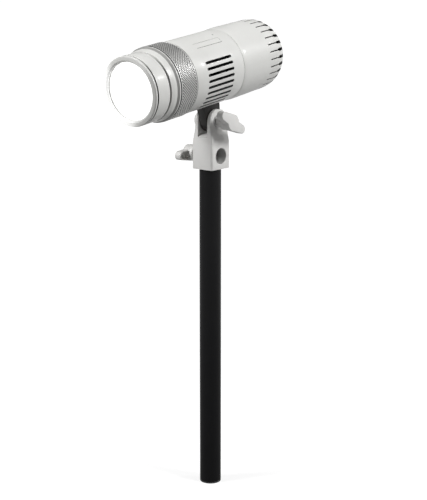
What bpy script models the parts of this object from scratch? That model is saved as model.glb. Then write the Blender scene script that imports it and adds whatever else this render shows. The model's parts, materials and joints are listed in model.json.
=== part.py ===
"""LED photography spotlight with a zoom barrel, a fork bracket with two wing knobs and a round pole.

Frame: the origin is the middle of the pole's lower end, +Z is up, the tilt axis runs along X and the
lamp head looks towards -Y, a few degrees below the horizontal. All sizes are metres.
"""
import math

import bmesh
import bpy
from mathutils import Matrix, Vector

# Clearances
SEAT_GAP = 0.0003
BORE_GAP = 0.00025
COLLAR_GAP = 0.0006

# Pole
POLE_LENGTH = 0.3338
POLE_RADIUS = 0.011
POLE_WALL = 0.0015
PLUG_FLANGE = 0.0015
PLUG_DEPTH = 0.014
STUD_RADIUS = 0.0079
STUD_HEIGHT = 0.0242
STUD_ROOT = 0.020
STUD_WAIST = 0.0012
STUD_WAIST_WIDTH = 0.0075

# Fork bracket
BLOCK_SIDE = 0.025
EAR_RADIUS = 0.0117
PIVOT_HEIGHT = 0.0482
PIVOT_OVER_FLOOR = 0.0160
PIVOT_OVER_SHOULDER = 0.0210
SHOULDER_RISE = 0.0060
EAR_WALL = 0.0038
FORK_GAP = 0.0120
FLOOR_CROWN = 0.0024
BLOCK_EDGE = 0.0008
SOCKET_ROOF = 0.0008
CROSS_RADIUS = 0.0078
CROSS_OFFSET = 0.0012
LOCK_HEIGHT = 0.0137
SCREW_RADIUS = 0.003
BOLT_HEAD_RADIUS = 0.0052
BOLT_HEAD_HEIGHT = 0.0032
BOLT_CAP_RADIUS = 0.0078
BOLT_CAP_HEIGHT = 0.0044
BOLT_REACH = 0.012
WASHER_RADIUS = 0.0090
WASHER_THICKNESS = 0.0006
THRUST_THICKNESS = 0.0010
THRUST_RADIUS = 0.0066
PAD_THICKNESS = 0.0016
PAD_RADIUS = 0.0026

# Wing knobs, along the knob's own axis from its inner end
KNOB_HUB_RADIUS = 0.0048
TILT_HUB_LENGTH = 0.0065
LOCK_HUB_LENGTH = 0.0045
KNOB_BOSS_RADIUS = 0.0082
KNOB_BOSS_DEPTH = 0.0125
KNOB_SHELL = 0.0015
KNOB_POCKET = 0.0085
WING_SPAN = 0.0410
WING_TIP_RADIUS = 0.0048
WING_ROOT_HALF = 0.0040
WING_DEPTH = 0.0068
KNOB_EDGE = 0.0009
TILT_WING_TURN = 57.0
LOCK_WING_TURN = 88.0
INSERT_WALL = 0.0008

# Middle housing: stations are measured forwards along the optical axis, from where it crosses the pole axis
HEAD_SETBACK = 0.0071
HEAD_DROOP = 7.7
HOUSING_RADIUS = 0.0358
HOUSING_WALL = 0.0022
HOUSING_FRONT = 0.0614
HOUSING_BACK = -0.0093
SPIGOT_LENGTH = 0.0035
SPIGOT_WALL = 0.0010
LUG_RISE = 0.0167
LUG_THICKNESS = 0.0096
LUG_RADIUS = 0.0108
LUG_ROOT_HALF = 0.0112
LUG_SCREW_RADIUS = 0.0018
LUG_SCREW_HEAD = 0.0030
LUG_SCREW_HEAD_HEIGHT = 0.0016
LUG_SCREW_PITCH = 0.0100
LUG_SCREW_LENGTH = 0.0070

# Side vents and control strip of the middle housing
VENT_COUNT = 9
VENT_PITCH = 9.7
VENT_MIDDLE_ANGLE = -15.9
VENT_WIDTH = 0.0021
VENT_TO_FRONT = 0.0163
VENT_TO_BACK = 0.0156
STRIP_ANGLE = 54.9
STRIP_WIDTH = 0.0060
STRIP_TO_FRONT = 0.0178
STRIP_TO_BACK = 0.0160
STRIP_THICKNESS = 0.0008
INDICATOR_ANGLE = 69.7
INDICATOR_TO_BACK = 0.0163
INDICATOR_RADIUS = 0.0010

# Focus ring, front tube and nose collar
TUBE_STEP = 0.0029
TUBE_WALL = 0.0014
TUBE_IN_HOUSING = 0.0134
TUBE_IN_COLLAR = 0.0023
TUBE_IN_FLANGE = 0.0020
RING_STEP = 0.0007
RING_GAP = 0.0012
RING_LENGTH = 0.0228
RING_EDGE = 0.0005
COLLAR_LIP_STEP = 0.0003
COLLAR_LIP_LENGTH = 0.0020
COLLAR_COVE_STEP = 0.0012
COLLAR_COVE_LENGTH = 0.0040
COLLAR_NOSE_STEP = 0.0021
COLLAR_NOSE_LENGTH = 0.0046

# Telescoping barrel and its lens
BARREL_STEP = 0.0025
BARREL_GAP = 0.0019
BARREL_LENGTH = 0.0197
SLEEVE_LENGTH = 0.0255
SLEEVE_WALL = 0.0016
BEZEL_FACE_LENGTH = 0.0026
GROOVE_WIDTH = 0.0016
GROOVE_DEPTH = 0.0017
BEZEL_WIDTH = 0.0055
BEZEL_LIP = 0.0022
BEZEL_ROUND = 0.0010
GASKET_THICKNESS = 0.0009
LENS_EDGE = 0.0040
LENS_DOME = 0.0036
RETAINER_LENGTH = 0.0026
RETAINER_WIDTH = 0.0031

# Light engine and heat sink
SINK_TO_BACK = 0.0188
SINK_TO_TUBE = 0.0042
SINK_BASE_THICKNESS = 0.0038
SINK_CORE_RADIUS = 0.0095
FIN_COUNT = 20
FIN_THICKNESS = 0.0012
FIN_TIP_GAP = 0.0008
BOARD_RADIUS = 0.0120
BOARD_THICKNESS = 0.0016
EMITTER_RADIUS = 0.0058
EMITTER_HEIGHT = 0.0018
REFLECTOR_THROAT = 0.0070
REFLECTOR_WALL = 0.0010
REFLECTOR_TO_SLEEVE = 0.0040

# Rear housing
REAR_STEP = 0.0009
REAR_TAPER = 0.0006
REAR_WALL = 0.0018
REAR_STRAIGHT_LENGTH = 0.0107
REAR_SIDE_LENGTH = 0.0487
REAR_SHOULDER_LENGTH = 0.0253
SHOULDER_POWER = 2.8
REAR_EDGE = 0.0016
BACK_FLOOR = 0.0022
SLOT_COUNT = 30
SLOT_FIRST_ANGLE = 9.9
SLOT_LEAD = 0.0055
SLOT_NARROW_RUN = 0.0092
SLOT_RUN = 0.0210
SLOT_WIDTH = 0.0019
SLOT_WIDE = 0.0031
SLOT_FLOOR_DEPTH = 0.0029

# Cooling fan and driver board
FAN_SHARE = 0.7252
FAN_RIM = 0.0014
FAN_TO_HOUSING = 0.0067
FAN_LENGTH = 0.0120
FAN_HUB_RADIUS = 0.0095
FAN_PIN_RADIUS = 0.0015
FAN_STRUT = 0.0022
FAN_PLATE = 0.0015
BLADE_COUNT = 7
BLADE_CHORD = 0.0105
BLADE_THICKNESS = 0.0012
BLADE_PITCH = 38.0
BLADE_TIP_GAP = 0.0010
DRIVER_TO_FAN = 0.0100
DRIVER_HOLE = 0.0130
COIL_RADIUS = 0.0060
COIL_HEIGHT = 0.0090

# Rear control plate
PANEL_RADIUS = 0.0173
PANEL_THICKNESS = 0.0015
PANEL_SINK = 0.0002
DIMMER_UP = 0.0075
DIMMER_BUSH_RADIUS = 0.0033
DIMMER_SHAFT_RADIUS = 0.0020
DIMMER_BODY_RADIUS = 0.0062
DIMMER_BODY_DEPTH = 0.0075
DIMMER_KNOB_RADIUS = 0.0059
DIMMER_KNOB_HEIGHT = 0.0088
SWITCH_ASIDE = -0.0065
SOCKET_ASIDE = 0.0065
SWITCH_DOWN = -0.0050
SWITCH_POCKET_HALF_X = 0.0030
SWITCH_POCKET_HALF_Y = 0.0049
SWITCH_WALL = 0.0009
SWITCH_BEZEL = 0.0006
SWITCH_BEZEL_HEIGHT = 0.0010
SWITCH_DEPTH = 0.0090
SWITCH_PIVOT_DEPTH = 0.0011
ROCKER_RADIUS = 0.0046
ROCKER_TURN = 10.0
SOCKET_BODY_RADIUS = 0.0039
SOCKET_FLANGE_RADIUS = 0.0045
SOCKET_HOLE_RADIUS = 0.0028
SOCKET_PIN_RADIUS = 0.0010
PANEL_SCREW_ASIDE = 0.0123
PANEL_SCREW_UP = 0.0068
PANEL_SCREW_RADIUS = 0.0010
PANEL_SCREW_HEAD = 0.0019

# Worked-out sizes of the pole and bracket
TUBE_TOP = POLE_LENGTH - SEAT_GAP
WAIST_RADIUS = STUD_RADIUS - STUD_WAIST
SOCKET_RADIUS = STUD_RADIUS + BORE_GAP
SOCKET_DEPTH = STUD_HEIGHT + SOCKET_ROOF
BLOCK_HALF = BLOCK_SIDE / 2
FORK_HALF = FORK_GAP / 2
EAR_OUTER = FORK_HALF + EAR_WALL
FORK_FLOOR = PIVOT_HEIGHT - PIVOT_OVER_FLOOR
SHOULDER_LOW = PIVOT_HEIGHT - PIVOT_OVER_SHOULDER
SHOULDER_HIGH = SHOULDER_LOW + SHOULDER_RISE
SCREW_HOLE = SCREW_RADIUS + BORE_GAP

# Worked-out sizes of the head's front
HEAD_RISE = HOUSING_RADIUS + LUG_RISE
HOUSING_INNER = HOUSING_RADIUS - HOUSING_WALL
VENT_FRONT = HOUSING_FRONT - VENT_TO_FRONT
VENT_BACK = HOUSING_BACK + VENT_TO_BACK
STRIP_FRONT = HOUSING_FRONT - STRIP_TO_FRONT
STRIP_BACK = HOUSING_BACK + STRIP_TO_BACK
INDICATOR_STATION = HOUSING_BACK + INDICATOR_TO_BACK
RING_RADIUS = HOUSING_RADIUS + RING_STEP
RING_BACK = HOUSING_FRONT + RING_GAP
RING_FRONT = RING_BACK + RING_LENGTH
COLLAR_BACK = RING_FRONT + COLLAR_GAP
COLLAR_LIP_RADIUS = HOUSING_RADIUS + COLLAR_LIP_STEP
COLLAR_LIP_FRONT = COLLAR_BACK + COLLAR_LIP_LENGTH
COLLAR_COVE_RADIUS = HOUSING_RADIUS - COLLAR_COVE_STEP
COLLAR_COVE_FRONT = COLLAR_LIP_FRONT + COLLAR_COVE_LENGTH
COLLAR_NOSE_RADIUS = HOUSING_RADIUS - COLLAR_NOSE_STEP
COLLAR_FRONT = COLLAR_COVE_FRONT + COLLAR_NOSE_LENGTH
COLLAR_SEAT = COLLAR_COVE_FRONT + TUBE_IN_COLLAR
TUBE_RADIUS = HOUSING_RADIUS - TUBE_STEP
TUBE_INNER = TUBE_RADIUS - TUBE_WALL
TUBE_BACK = HOUSING_FRONT - TUBE_IN_HOUSING
TUBE_FRONT = COLLAR_SEAT - SEAT_GAP
BARREL_RADIUS = HOUSING_RADIUS - BARREL_STEP
BARREL_BACK = COLLAR_FRONT + BARREL_GAP
BARREL_FRONT = BARREL_BACK + BARREL_LENGTH
SLEEVE_BACK = BARREL_BACK - SLEEVE_LENGTH
SLEEVE_RADIUS = TUBE_INNER - SEAT_GAP
SLEEVE_INNER = SLEEVE_RADIUS - SLEEVE_WALL
GROOVE_FRONT = BARREL_FRONT - BEZEL_FACE_LENGTH
GROOVE_BACK = GROOVE_FRONT - GROOVE_WIDTH
BEZEL_OPENING = BARREL_RADIUS - BEZEL_WIDTH
BEZEL_LIP_BACK = BARREL_FRONT - BEZEL_LIP
LENS_RADIUS = SLEEVE_INNER - SEAT_GAP
LENS_FRONT = BEZEL_LIP_BACK - GASKET_THICKNESS - 2 * SEAT_GAP
RETAINER_OPENING = LENS_RADIUS - RETAINER_WIDTH
SINK_BASE_FRONT = TUBE_BACK - SINK_TO_TUBE
SINK_BASE_BACK = SINK_BASE_FRONT - SINK_BASE_THICKNESS
SINK_BACK = HOUSING_BACK + SINK_TO_BACK
REFLECTOR_FRONT = SLEEVE_BACK - REFLECTOR_TO_SLEEVE

# Worked-out sizes of the head's rear
REAR_RADIUS = HOUSING_RADIUS + REAR_STEP
REAR_TAIL_RADIUS = REAR_RADIUS - REAR_TAPER
REAR_STRAIGHT = HOUSING_BACK - REAR_STRAIGHT_LENGTH
REAR_SHOULDER = HOUSING_BACK - REAR_SIDE_LENGTH
REAR_BACK = REAR_SHOULDER - REAR_SHOULDER_LENGTH
SLOT_FRONT = REAR_SHOULDER + SLOT_LEAD
SLOT_STEP = REAR_SHOULDER - SLOT_NARROW_RUN
SLOT_END = REAR_SHOULDER - SLOT_RUN
SLOT_FLOOR = REAR_TAIL_RADIUS - SLOT_FLOOR_DEPTH
RECESS_RADIUS = PANEL_RADIUS + SEAT_GAP
PANEL_BACK = REAR_BACK + PANEL_SINK
PANEL_FRONT = PANEL_BACK + PANEL_THICKNESS
RECESS_FLOOR = PANEL_FRONT + SEAT_GAP
INNER_FLOOR = RECESS_FLOOR + BACK_FLOOR
SWITCH_PIVOT = PANEL_BACK + SWITCH_PIVOT_DEPTH
FAN_FRONT = HOUSING_BACK - FAN_TO_HOUSING
FAN_BACK = FAN_FRONT - FAN_LENGTH
DRIVER_FRONT = FAN_BACK - DRIVER_TO_FAN

# Facets round the turned pieces
VENTED_ROUND = 40
ROUND = 32
SOCKET_ROUND = 24
HIDDEN_ROUND = 20
SMALL_ROUND = 12


def clear_scene():
    for old in list(bpy.data.objects):
        bpy.data.objects.remove(old, do_unlink=True)


def make_collection(name):
    collection = bpy.data.collections.new(name)
    bpy.context.scene.collection.children.link(collection)
    return collection


def material(name, colour, roughness, metallic=0.0):
    made = bpy.data.materials.new(name)
    made.use_nodes = True
    shader = made.node_tree.nodes["Principled BSDF"]
    shader.inputs["Base Color"].default_value = (*colour, 1.0)
    shader.inputs["Roughness"].default_value = roughness
    shader.inputs["Metallic"].default_value = metallic
    return made


def empty(name, parent=None, location=(0, 0, 0), rotation=(0, 0, 0)):
    made = bpy.data.objects.new(name, None)
    PARTS.objects.link(made)
    made.parent = parent
    made.location = location
    made.rotation_euler = rotation
    return made


def add(name, mesh, parent, location=(0, 0, 0), rotation=(0, 0, 0), order="XYZ", look=None):
    """An object in the parts collection, or a cutter when it has no material."""
    made = bpy.data.objects.new(name, mesh)
    (PARTS if look else CUTTERS).objects.link(made)
    made.parent = parent
    made.location = location
    made.rotation_mode = order
    made.rotation_euler = rotation
    if look:
        mesh.materials.clear()
        mesh.materials.append(look)
    else:
        made.hide_render = True
        made.display_type = "WIRE"
    return made


def smooth(mesh, angle=35.0):
    mesh.shade_smooth()
    mesh.set_sharp_from_angle(angle=math.radians(angle))


def turned(name, profile, parent, ring=True, segments=ROUND, **place):
    """A turned solid about local Z. The profile is (radius, station) pairs down the outer side first."""
    mesh = bpy.data.meshes.new(name)
    points = [(radius, 0.0, station) for radius, station in profile]
    edges = [(i, i + 1) for i in range(len(points) - 1)]
    if ring:
        edges.append((len(points) - 1, 0))
    mesh.from_pydata(points, edges, [])
    made = add(name, mesh, parent, **place)
    screw = made.modifiers.new("Turn", "SCREW")
    screw.axis = "Z"
    screw.steps = segments
    screw.render_steps = segments
    screw.use_merge_vertices = True
    screw.merge_threshold = 0.00001
    screw.use_smooth_shade = False
    return made


def extruded(name, outline, depth, parent, base=0.0, **place):
    """A flat outline in local XY, extruded from base to base + depth along local Z."""
    curve = bpy.data.curves.new(name + "_outline", "CURVE")
    curve.dimensions = "2D"
    curve.fill_mode = "BOTH"
    curve.extrude = depth / 2
    spline = curve.splines.new("POLY")
    spline.points.add(len(outline) - 1)
    for point, (x, y) in zip(spline.points, outline):
        point.co = (x, y, 0.0, 1.0)
    spline.use_cyclic_u = True
    drawn = bpy.data.objects.new(name + "_outline", curve)
    CUTTERS.objects.link(drawn)
    evaluated = drawn.evaluated_get(bpy.context.evaluated_depsgraph_get())
    mesh = bpy.data.meshes.new_from_object(evaluated)
    bpy.data.objects.remove(drawn, do_unlink=True)
    bpy.data.curves.remove(curve)
    solid = bmesh.new()
    solid.from_mesh(mesh)
    bmesh.ops.remove_doubles(solid, verts=solid.verts, dist=0.000002)
    bmesh.ops.recalc_face_normals(solid, faces=solid.faces)
    bmesh.ops.translate(solid, verts=solid.verts, vec=(0, 0, base + depth / 2))
    solid.to_mesh(mesh)
    solid.free()
    mesh.name = name
    return add(name, mesh, parent, **place)


def cylinders(name, specs, parent, segments=SMALL_ROUND, **place):
    """Separate round bars in one mesh. Each spec is radius, length and the matrix of its middle."""
    solid = bmesh.new()
    for radius, length, matrix in specs:
        bmesh.ops.create_cone(solid, cap_ends=True, segments=segments, radius1=radius, radius2=radius,
                              depth=length, matrix=matrix)
    mesh = bpy.data.meshes.new(name)
    solid.to_mesh(mesh)
    solid.free()
    return add(name, mesh, parent, **place)


def boxes(name, specs, parent, **place):
    """Separate boxes in one mesh. Each spec is the size and the matrix of its middle."""
    solid = bmesh.new()
    for size, matrix in specs:
        bmesh.ops.create_cube(solid, size=1.0, matrix=matrix @ Matrix.Diagonal((*size, 1.0)))
    mesh = bpy.data.meshes.new(name)
    solid.to_mesh(mesh)
    solid.free()
    return add(name, mesh, parent, **place)


def boolean(target, other, operation="DIFFERENCE"):
    step = target.modifiers.new(operation.title(), "BOOLEAN")
    step.operation = operation
    step.solver = "EXACT"
    step.object = other


def bevel(target, width, segments=2, angle=40.0):
    step = target.modifiers.new("Bevel", "BEVEL")
    step.width = width
    step.segments = segments
    step.limit_method = "ANGLE"
    step.angle_limit = math.radians(angle)
    step.harden_normals = False


def arc(centre_x, centre_y, radius, start, end, steps):
    """Points on an arc, from the start angle to the end angle in degrees."""
    turns = [math.radians(start + (end - start) * i / steps) for i in range(steps + 1)]
    return [(centre_x + radius * math.cos(t), centre_y + radius * math.sin(t)) for t in turns]


def along_x(x, y, z):
    """The matrix that lays a bar's own Z along X, with its middle at the given point."""
    return Matrix.Translation((x, y, z)) @ Matrix.Rotation(math.pi / 2, 4, "Y")


def around(angle, radius, station):
    """The matrix of a point on the head's wall: local X points outwards, local Z forwards."""
    return Matrix.Rotation(math.radians(angle), 4, "Z") @ Matrix.Translation((radius, 0, station))


def stadium_bars(name, slots, depth, parent, sides=8):
    """Cutters with round ends. Each slot is its angle, width, front and back station and mid radius."""
    spin = 180 / sides if sides % 4 == 0 else 0
    solid = bmesh.new()
    for angle, width, front, back, radius in slots:
        corner = width / 2 / math.cos(math.pi / sides)
        made = bmesh.ops.create_cone(solid, cap_ends=True, segments=sides, radius1=corner,
                                     radius2=corner, depth=depth,
                                     matrix=Matrix.Rotation(math.radians(spin), 4, "Z"))
        stretch = (front - back - width) / 2
        for vertex in made["verts"]:
            vertex.co.x += math.copysign(stretch, vertex.co.x)
        lay = around(angle, radius, (front + back) / 2) @ Matrix.Rotation(math.pi / 2, 4, "Y")
        bmesh.ops.transform(solid, matrix=lay, verts=made["verts"])
    mesh = bpy.data.meshes.new(name)
    solid.to_mesh(mesh)
    solid.free()
    return add(name, mesh, parent)


def finish_round(target, angle=35.0):
    """Smooth shading with sharp corners kept, as the last step on a turned or cut piece."""
    step = target.modifiers.new("Weld", "WELD")
    step.merge_threshold = 0.000002
    smooth(target.data, angle)


def build_pole():
    inner = POLE_RADIUS - POLE_WALL
    tube_bottom = PLUG_FLANGE + SEAT_GAP
    turned("pole_tube", [(POLE_RADIUS, TUBE_TOP), (POLE_RADIUS, tube_bottom), (inner, tube_bottom),
                         (inner, TUBE_TOP)], ROOT, segments=SOCKET_ROUND, look=BLACK_PAINT)
    fit = inner - SEAT_GAP
    turned("pole_end_plug", [(0, PLUG_DEPTH), (fit - 0.001, PLUG_DEPTH), (fit, PLUG_DEPTH - 0.001),
                             (fit, PLUG_FLANGE), (POLE_RADIUS, PLUG_FLANGE), (POLE_RADIUS, 0.0006),
                             (POLE_RADIUS - 0.0006, 0), (0, 0)], ROOT, ring=False, segments=HIDDEN_ROUND,
           look=BLACK_PLASTIC)
    top = TUBE_TOP + STUD_HEIGHT
    waist_mid = POLE_LENGTH + LOCK_HEIGHT
    high = waist_mid + STUD_WAIST_WIDTH / 2
    low = waist_mid - STUD_WAIST_WIDTH / 2
    turned("pole_stud", [(0, top), (STUD_RADIUS - 0.001, top), (STUD_RADIUS, top - 0.001),
                         (STUD_RADIUS, high + STUD_WAIST), (WAIST_RADIUS, high), (WAIST_RADIUS, low),
                         (STUD_RADIUS, low - STUD_WAIST), (STUD_RADIUS, TUBE_TOP), (fit, TUBE_TOP),
                         (fit, TUBE_TOP - STUD_ROOT), (0, TUBE_TOP - STUD_ROOT)], ROOT, ring=False,
           segments=SOCKET_ROUND, look=STEEL)


def build_bracket():
    top = PIVOT_HEIGHT + EAR_RADIUS
    front = [(-BLOCK_HALF, 0), (BLOCK_HALF, 0), (BLOCK_HALF, SHOULDER_LOW), (EAR_OUTER, SHOULDER_HIGH),
             (EAR_OUTER, top + 0.001), (-EAR_OUTER, top + 0.001), (-EAR_OUTER, SHOULDER_HIGH),
             (-BLOCK_HALF, SHOULDER_LOW)]
    block = extruded("bracket_block", front, BLOCK_SIDE, BRACKET, base=-BLOCK_HALF,
                     rotation=(math.pi / 2, 0, 0), look=BRACKET_GREY)
    side = [(-BLOCK_HALF, -0.001), (BLOCK_HALF, -0.001), (BLOCK_HALF, SHOULDER_LOW)]
    side += arc(0, PIVOT_HEIGHT, EAR_RADIUS, 0, 180, 12)
    side += [(-BLOCK_HALF, SHOULDER_LOW)]
    turn_side = (math.pi / 2, 0, math.pi / 2)
    boolean(block, extruded("bracket_side_form", side, BLOCK_SIDE + 0.004, BRACKET,
                            base=-BLOCK_HALF - 0.002, rotation=turn_side), "INTERSECT")
    bevel(block, BLOCK_EDGE, 1)
    reach = BLOCK_HALF + 0.002
    crown_radius = (reach ** 2 + FLOOR_CROWN ** 2) / (2 * FLOOR_CROWN)
    lean = math.degrees(math.asin(reach / crown_radius))
    crown_centre = FORK_FLOOR + FLOOR_CROWN - crown_radius
    gap = arc(0, crown_centre, crown_radius, 90 + lean, 90 - lean, 6)
    gap += [(reach, top + 0.002), (-reach, top + 0.002)]
    boolean(block, extruded("fork_gap_cutter", gap, FORK_GAP, BRACKET, base=-FORK_HALF,
                            rotation=turn_side))
    boolean(block, cylinders("stud_socket_cutter", [
        (SOCKET_RADIUS, SOCKET_DEPTH + 0.004, Matrix.Translation((0, 0, SOCKET_DEPTH / 2 - 0.002)))],
        BRACKET, segments=SOCKET_ROUND))
    boolean(block, cylinders("cross_socket_cutter", [
        (CROSS_RADIUS, BLOCK_HALF + 0.004, along_x(BLOCK_HALF / 2 + 0.002, CROSS_OFFSET, LOCK_HEIGHT))],
        BRACKET, segments=SOCKET_ROUND))
    boolean(block, cylinders("bracket_hole_cutters", [
        (SCREW_HOLE, BLOCK_HALF + 0.004, along_x(-BLOCK_HALF / 2 - 0.002, 0, LOCK_HEIGHT)),
        (SCREW_HOLE, BLOCK_SIDE + 0.004, along_x(0, 0, PIVOT_HEIGHT))], BRACKET, segments=SMALL_ROUND))
    finish_round(block)


def build_pivot():
    """The tilt bolt with its round cap, the friction washers in the fork and the thrust washer."""
    pivot = (0, 0, PIVOT_HEIGHT)
    to_left = (0, -math.pi / 2, 0)
    head_in = EAR_OUTER + SEAT_GAP
    head_out = head_in + BOLT_HEAD_HEIGHT
    bolt_end = -(EAR_OUTER + BOLT_REACH)
    bolt = turned("pivot_bolt", [(0, head_out), (BOLT_HEAD_RADIUS, head_out), (BOLT_HEAD_RADIUS, head_in),
                                 (SCREW_RADIUS, head_in), (SCREW_RADIUS, bolt_end + 0.0006),
                                 (SCREW_RADIUS - 0.0006, bolt_end), (0, bolt_end)], BRACKET,
                  ring=False, segments=SMALL_ROUND, location=pivot, rotation=to_left, look=STEEL)
    smooth(bolt.data)
    pocket = BOLT_HEAD_RADIUS + SEAT_GAP
    cap_out = head_in + BOLT_CAP_HEIGHT
    cap = turned("bolt_cap", [(0, cap_out), (BOLT_CAP_RADIUS - 0.0016, cap_out - 0.0001),
                              (BOLT_CAP_RADIUS - 0.0004, cap_out - 0.0006),
                              (BOLT_CAP_RADIUS, cap_out - 0.0016), (BOLT_CAP_RADIUS, head_in),
                              (pocket, head_in), (pocket, head_out + SEAT_GAP),
                              (0, head_out + SEAT_GAP)], BRACKET, ring=False, segments=HIDDEN_ROUND,
                 location=pivot, rotation=to_left, look=BRACKET_GREY)
    smooth(cap.data)
    for side, sign in (("left", -1), ("right", 1)):
        outer = sign * (FORK_HALF - SEAT_GAP)
        inner = sign * (FORK_HALF - SEAT_GAP - WASHER_THICKNESS)
        high, low = max(outer, inner), min(outer, inner)
        washer = turned("friction_washer_" + side, [
            (WASHER_RADIUS, high), (WASHER_RADIUS, low), (SCREW_HOLE, low), (SCREW_HOLE, high)],
            BRACKET, segments=SMALL_ROUND, location=pivot, rotation=(0, math.pi / 2, 0), look=RUBBER)
        smooth(washer.data)
    near = EAR_OUTER + SEAT_GAP
    far = near + THRUST_THICKNESS
    thrust = turned("thrust_washer", [(THRUST_RADIUS, far), (THRUST_RADIUS, near), (SCREW_HOLE, near),
                                      (SCREW_HOLE, far)], BRACKET, segments=SMALL_ROUND, location=pivot,
                    rotation=(0, math.pi / 2, 0), look=STEEL)
    smooth(thrust.data)


def wing_outline(inset=0.0, start=None):
    """Both wings in one outline, or one hollow of the right-hand wing when a start is given."""
    radius = WING_TIP_RADIUS - inset
    centre = WING_SPAN / 2 - WING_TIP_RADIUS
    root = WING_ROOT_HALF - inset
    if start is not None:
        return arc(centre, 0, radius, -90, 90, 5) + [(start, root), (start, -root)]
    return (arc(centre, 0, radius, -90, 90, 7) + [(0, root)]
            + arc(-centre, 0, radius, 90, 270, 7) + [(0, -root)])


def wing_knob(name, hub, location, rotation, hole_depth):
    """A moulded wing knob, hollow at the back, along local Z from its inner end."""
    place = {"location": location, "rotation": rotation, "order": "ZYX"}
    front = hub + KNOB_BOSS_DEPTH
    mouth = hub
    pocket_end = mouth + KNOB_POCKET
    inner = KNOB_BOSS_RADIUS - KNOB_SHELL
    bore = SCREW_RADIUS + BORE_GAP + INSERT_WALL + SEAT_GAP
    knob = turned(name, [(0, front + 0.0005), (KNOB_BOSS_RADIUS - 0.0018, front + 0.0001),
                         (KNOB_BOSS_RADIUS - 0.0004, front - 0.0005),
                         (KNOB_BOSS_RADIUS, front - 0.0014), (KNOB_BOSS_RADIUS, mouth), (inner, mouth),
                         (inner, pocket_end), (KNOB_HUB_RADIUS, pocket_end), (KNOB_HUB_RADIUS, 0),
                         (bore, 0), (bore, hole_depth), (0, hole_depth)], BRACKET, ring=False,
                  segments=HIDDEN_ROUND, look=KNOB_GREY, **place)
    wings = extruded(name + "_wings", wing_outline(), WING_DEPTH, BRACKET, base=front - WING_DEPTH,
                     **place)
    bevel(wings, KNOB_EDGE, 1)
    core = cylinders(name + "_wing_core", [
        (inner + KNOB_SHELL / 2, WING_DEPTH + 0.004,
         Matrix.Translation((0, 0, front - WING_DEPTH / 2 - 0.002 - KNOB_BOSS_DEPTH + KNOB_POCKET)))],
        BRACKET, segments=HIDDEN_ROUND, **place)
    boolean(wings, core)
    boolean(knob, wings, "UNION")
    hollow_depth = WING_DEPTH - KNOB_SHELL
    for number in range(2):
        turn = (rotation[0], rotation[1], rotation[2] + math.pi * number)
        hollow = extruded(name + "_hollow_" + str(number + 1),
                          wing_outline(KNOB_SHELL, KNOB_BOSS_RADIUS + KNOB_SHELL / 2),
                          hollow_depth + 0.002, BRACKET, base=front - WING_DEPTH - 0.002,
                          location=location, rotation=turn, order="ZYX")
        boolean(knob, hollow)
    finish_round(knob)
    return knob


def build_knobs():
    tilt_start = EAR_OUTER + 2 * SEAT_GAP + THRUST_THICKNESS
    tilt_place = (tilt_start, 0, PIVOT_HEIGHT)
    insert_radius = SCREW_RADIUS + BORE_GAP + INSERT_WALL
    tilt_hole = TILT_HUB_LENGTH + KNOB_POCKET
    turn = (0, math.pi / 2, math.radians(TILT_WING_TURN))
    wing_knob("tilt_knob", TILT_HUB_LENGTH, tilt_place, turn, tilt_hole)
    insert = turned("tilt_knob_insert", [
        (insert_radius, tilt_hole - SEAT_GAP), (insert_radius, 0), (SCREW_HOLE, 0),
        (SCREW_HOLE, tilt_hole - SEAT_GAP)], BRACKET, segments=SMALL_ROUND, location=tilt_place,
        rotation=(0, math.pi / 2, 0), look=BRASS)
    smooth(insert.data)

    lock_start = -(BLOCK_HALF + 2 * SEAT_GAP)
    lock_place = (lock_start, 0, LOCK_HEIGHT)
    lock_hole = LOCK_HUB_LENGTH + KNOB_POCKET
    turn = (0, -math.pi / 2, math.radians(LOCK_WING_TURN))
    wing_knob("lock_knob", LOCK_HUB_LENGTH, lock_place, turn, lock_hole)
    pad_in = WAIST_RADIUS + SEAT_GAP
    pad_out = pad_in + PAD_THICKNESS
    screw_in = pad_out + SEAT_GAP
    screw_out = BLOCK_HALF + 2 * SEAT_GAP + lock_hole - SEAT_GAP
    to_left = (0, -math.pi / 2, 0)
    head_in = BLOCK_HALF + 2 * SEAT_GAP
    screw = turned("lock_screw", [
        (0, screw_out), (insert_radius, screw_out), (insert_radius, head_in),
        (SCREW_RADIUS, head_in), (SCREW_RADIUS, screw_in), (0, screw_in)], BRACKET, ring=False,
        segments=SMALL_ROUND, location=(0, 0, LOCK_HEIGHT), rotation=to_left, look=STEEL)
    smooth(screw.data)
    pad = turned("lock_pad", [(0, pad_out), (PAD_RADIUS, pad_out), (PAD_RADIUS, pad_in), (0, pad_in)],
                 BRACKET, ring=False, segments=SMALL_ROUND, location=(0, 0, LOCK_HEIGHT), rotation=to_left,
                 look=BRASS)
    smooth(pad.data)


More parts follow.
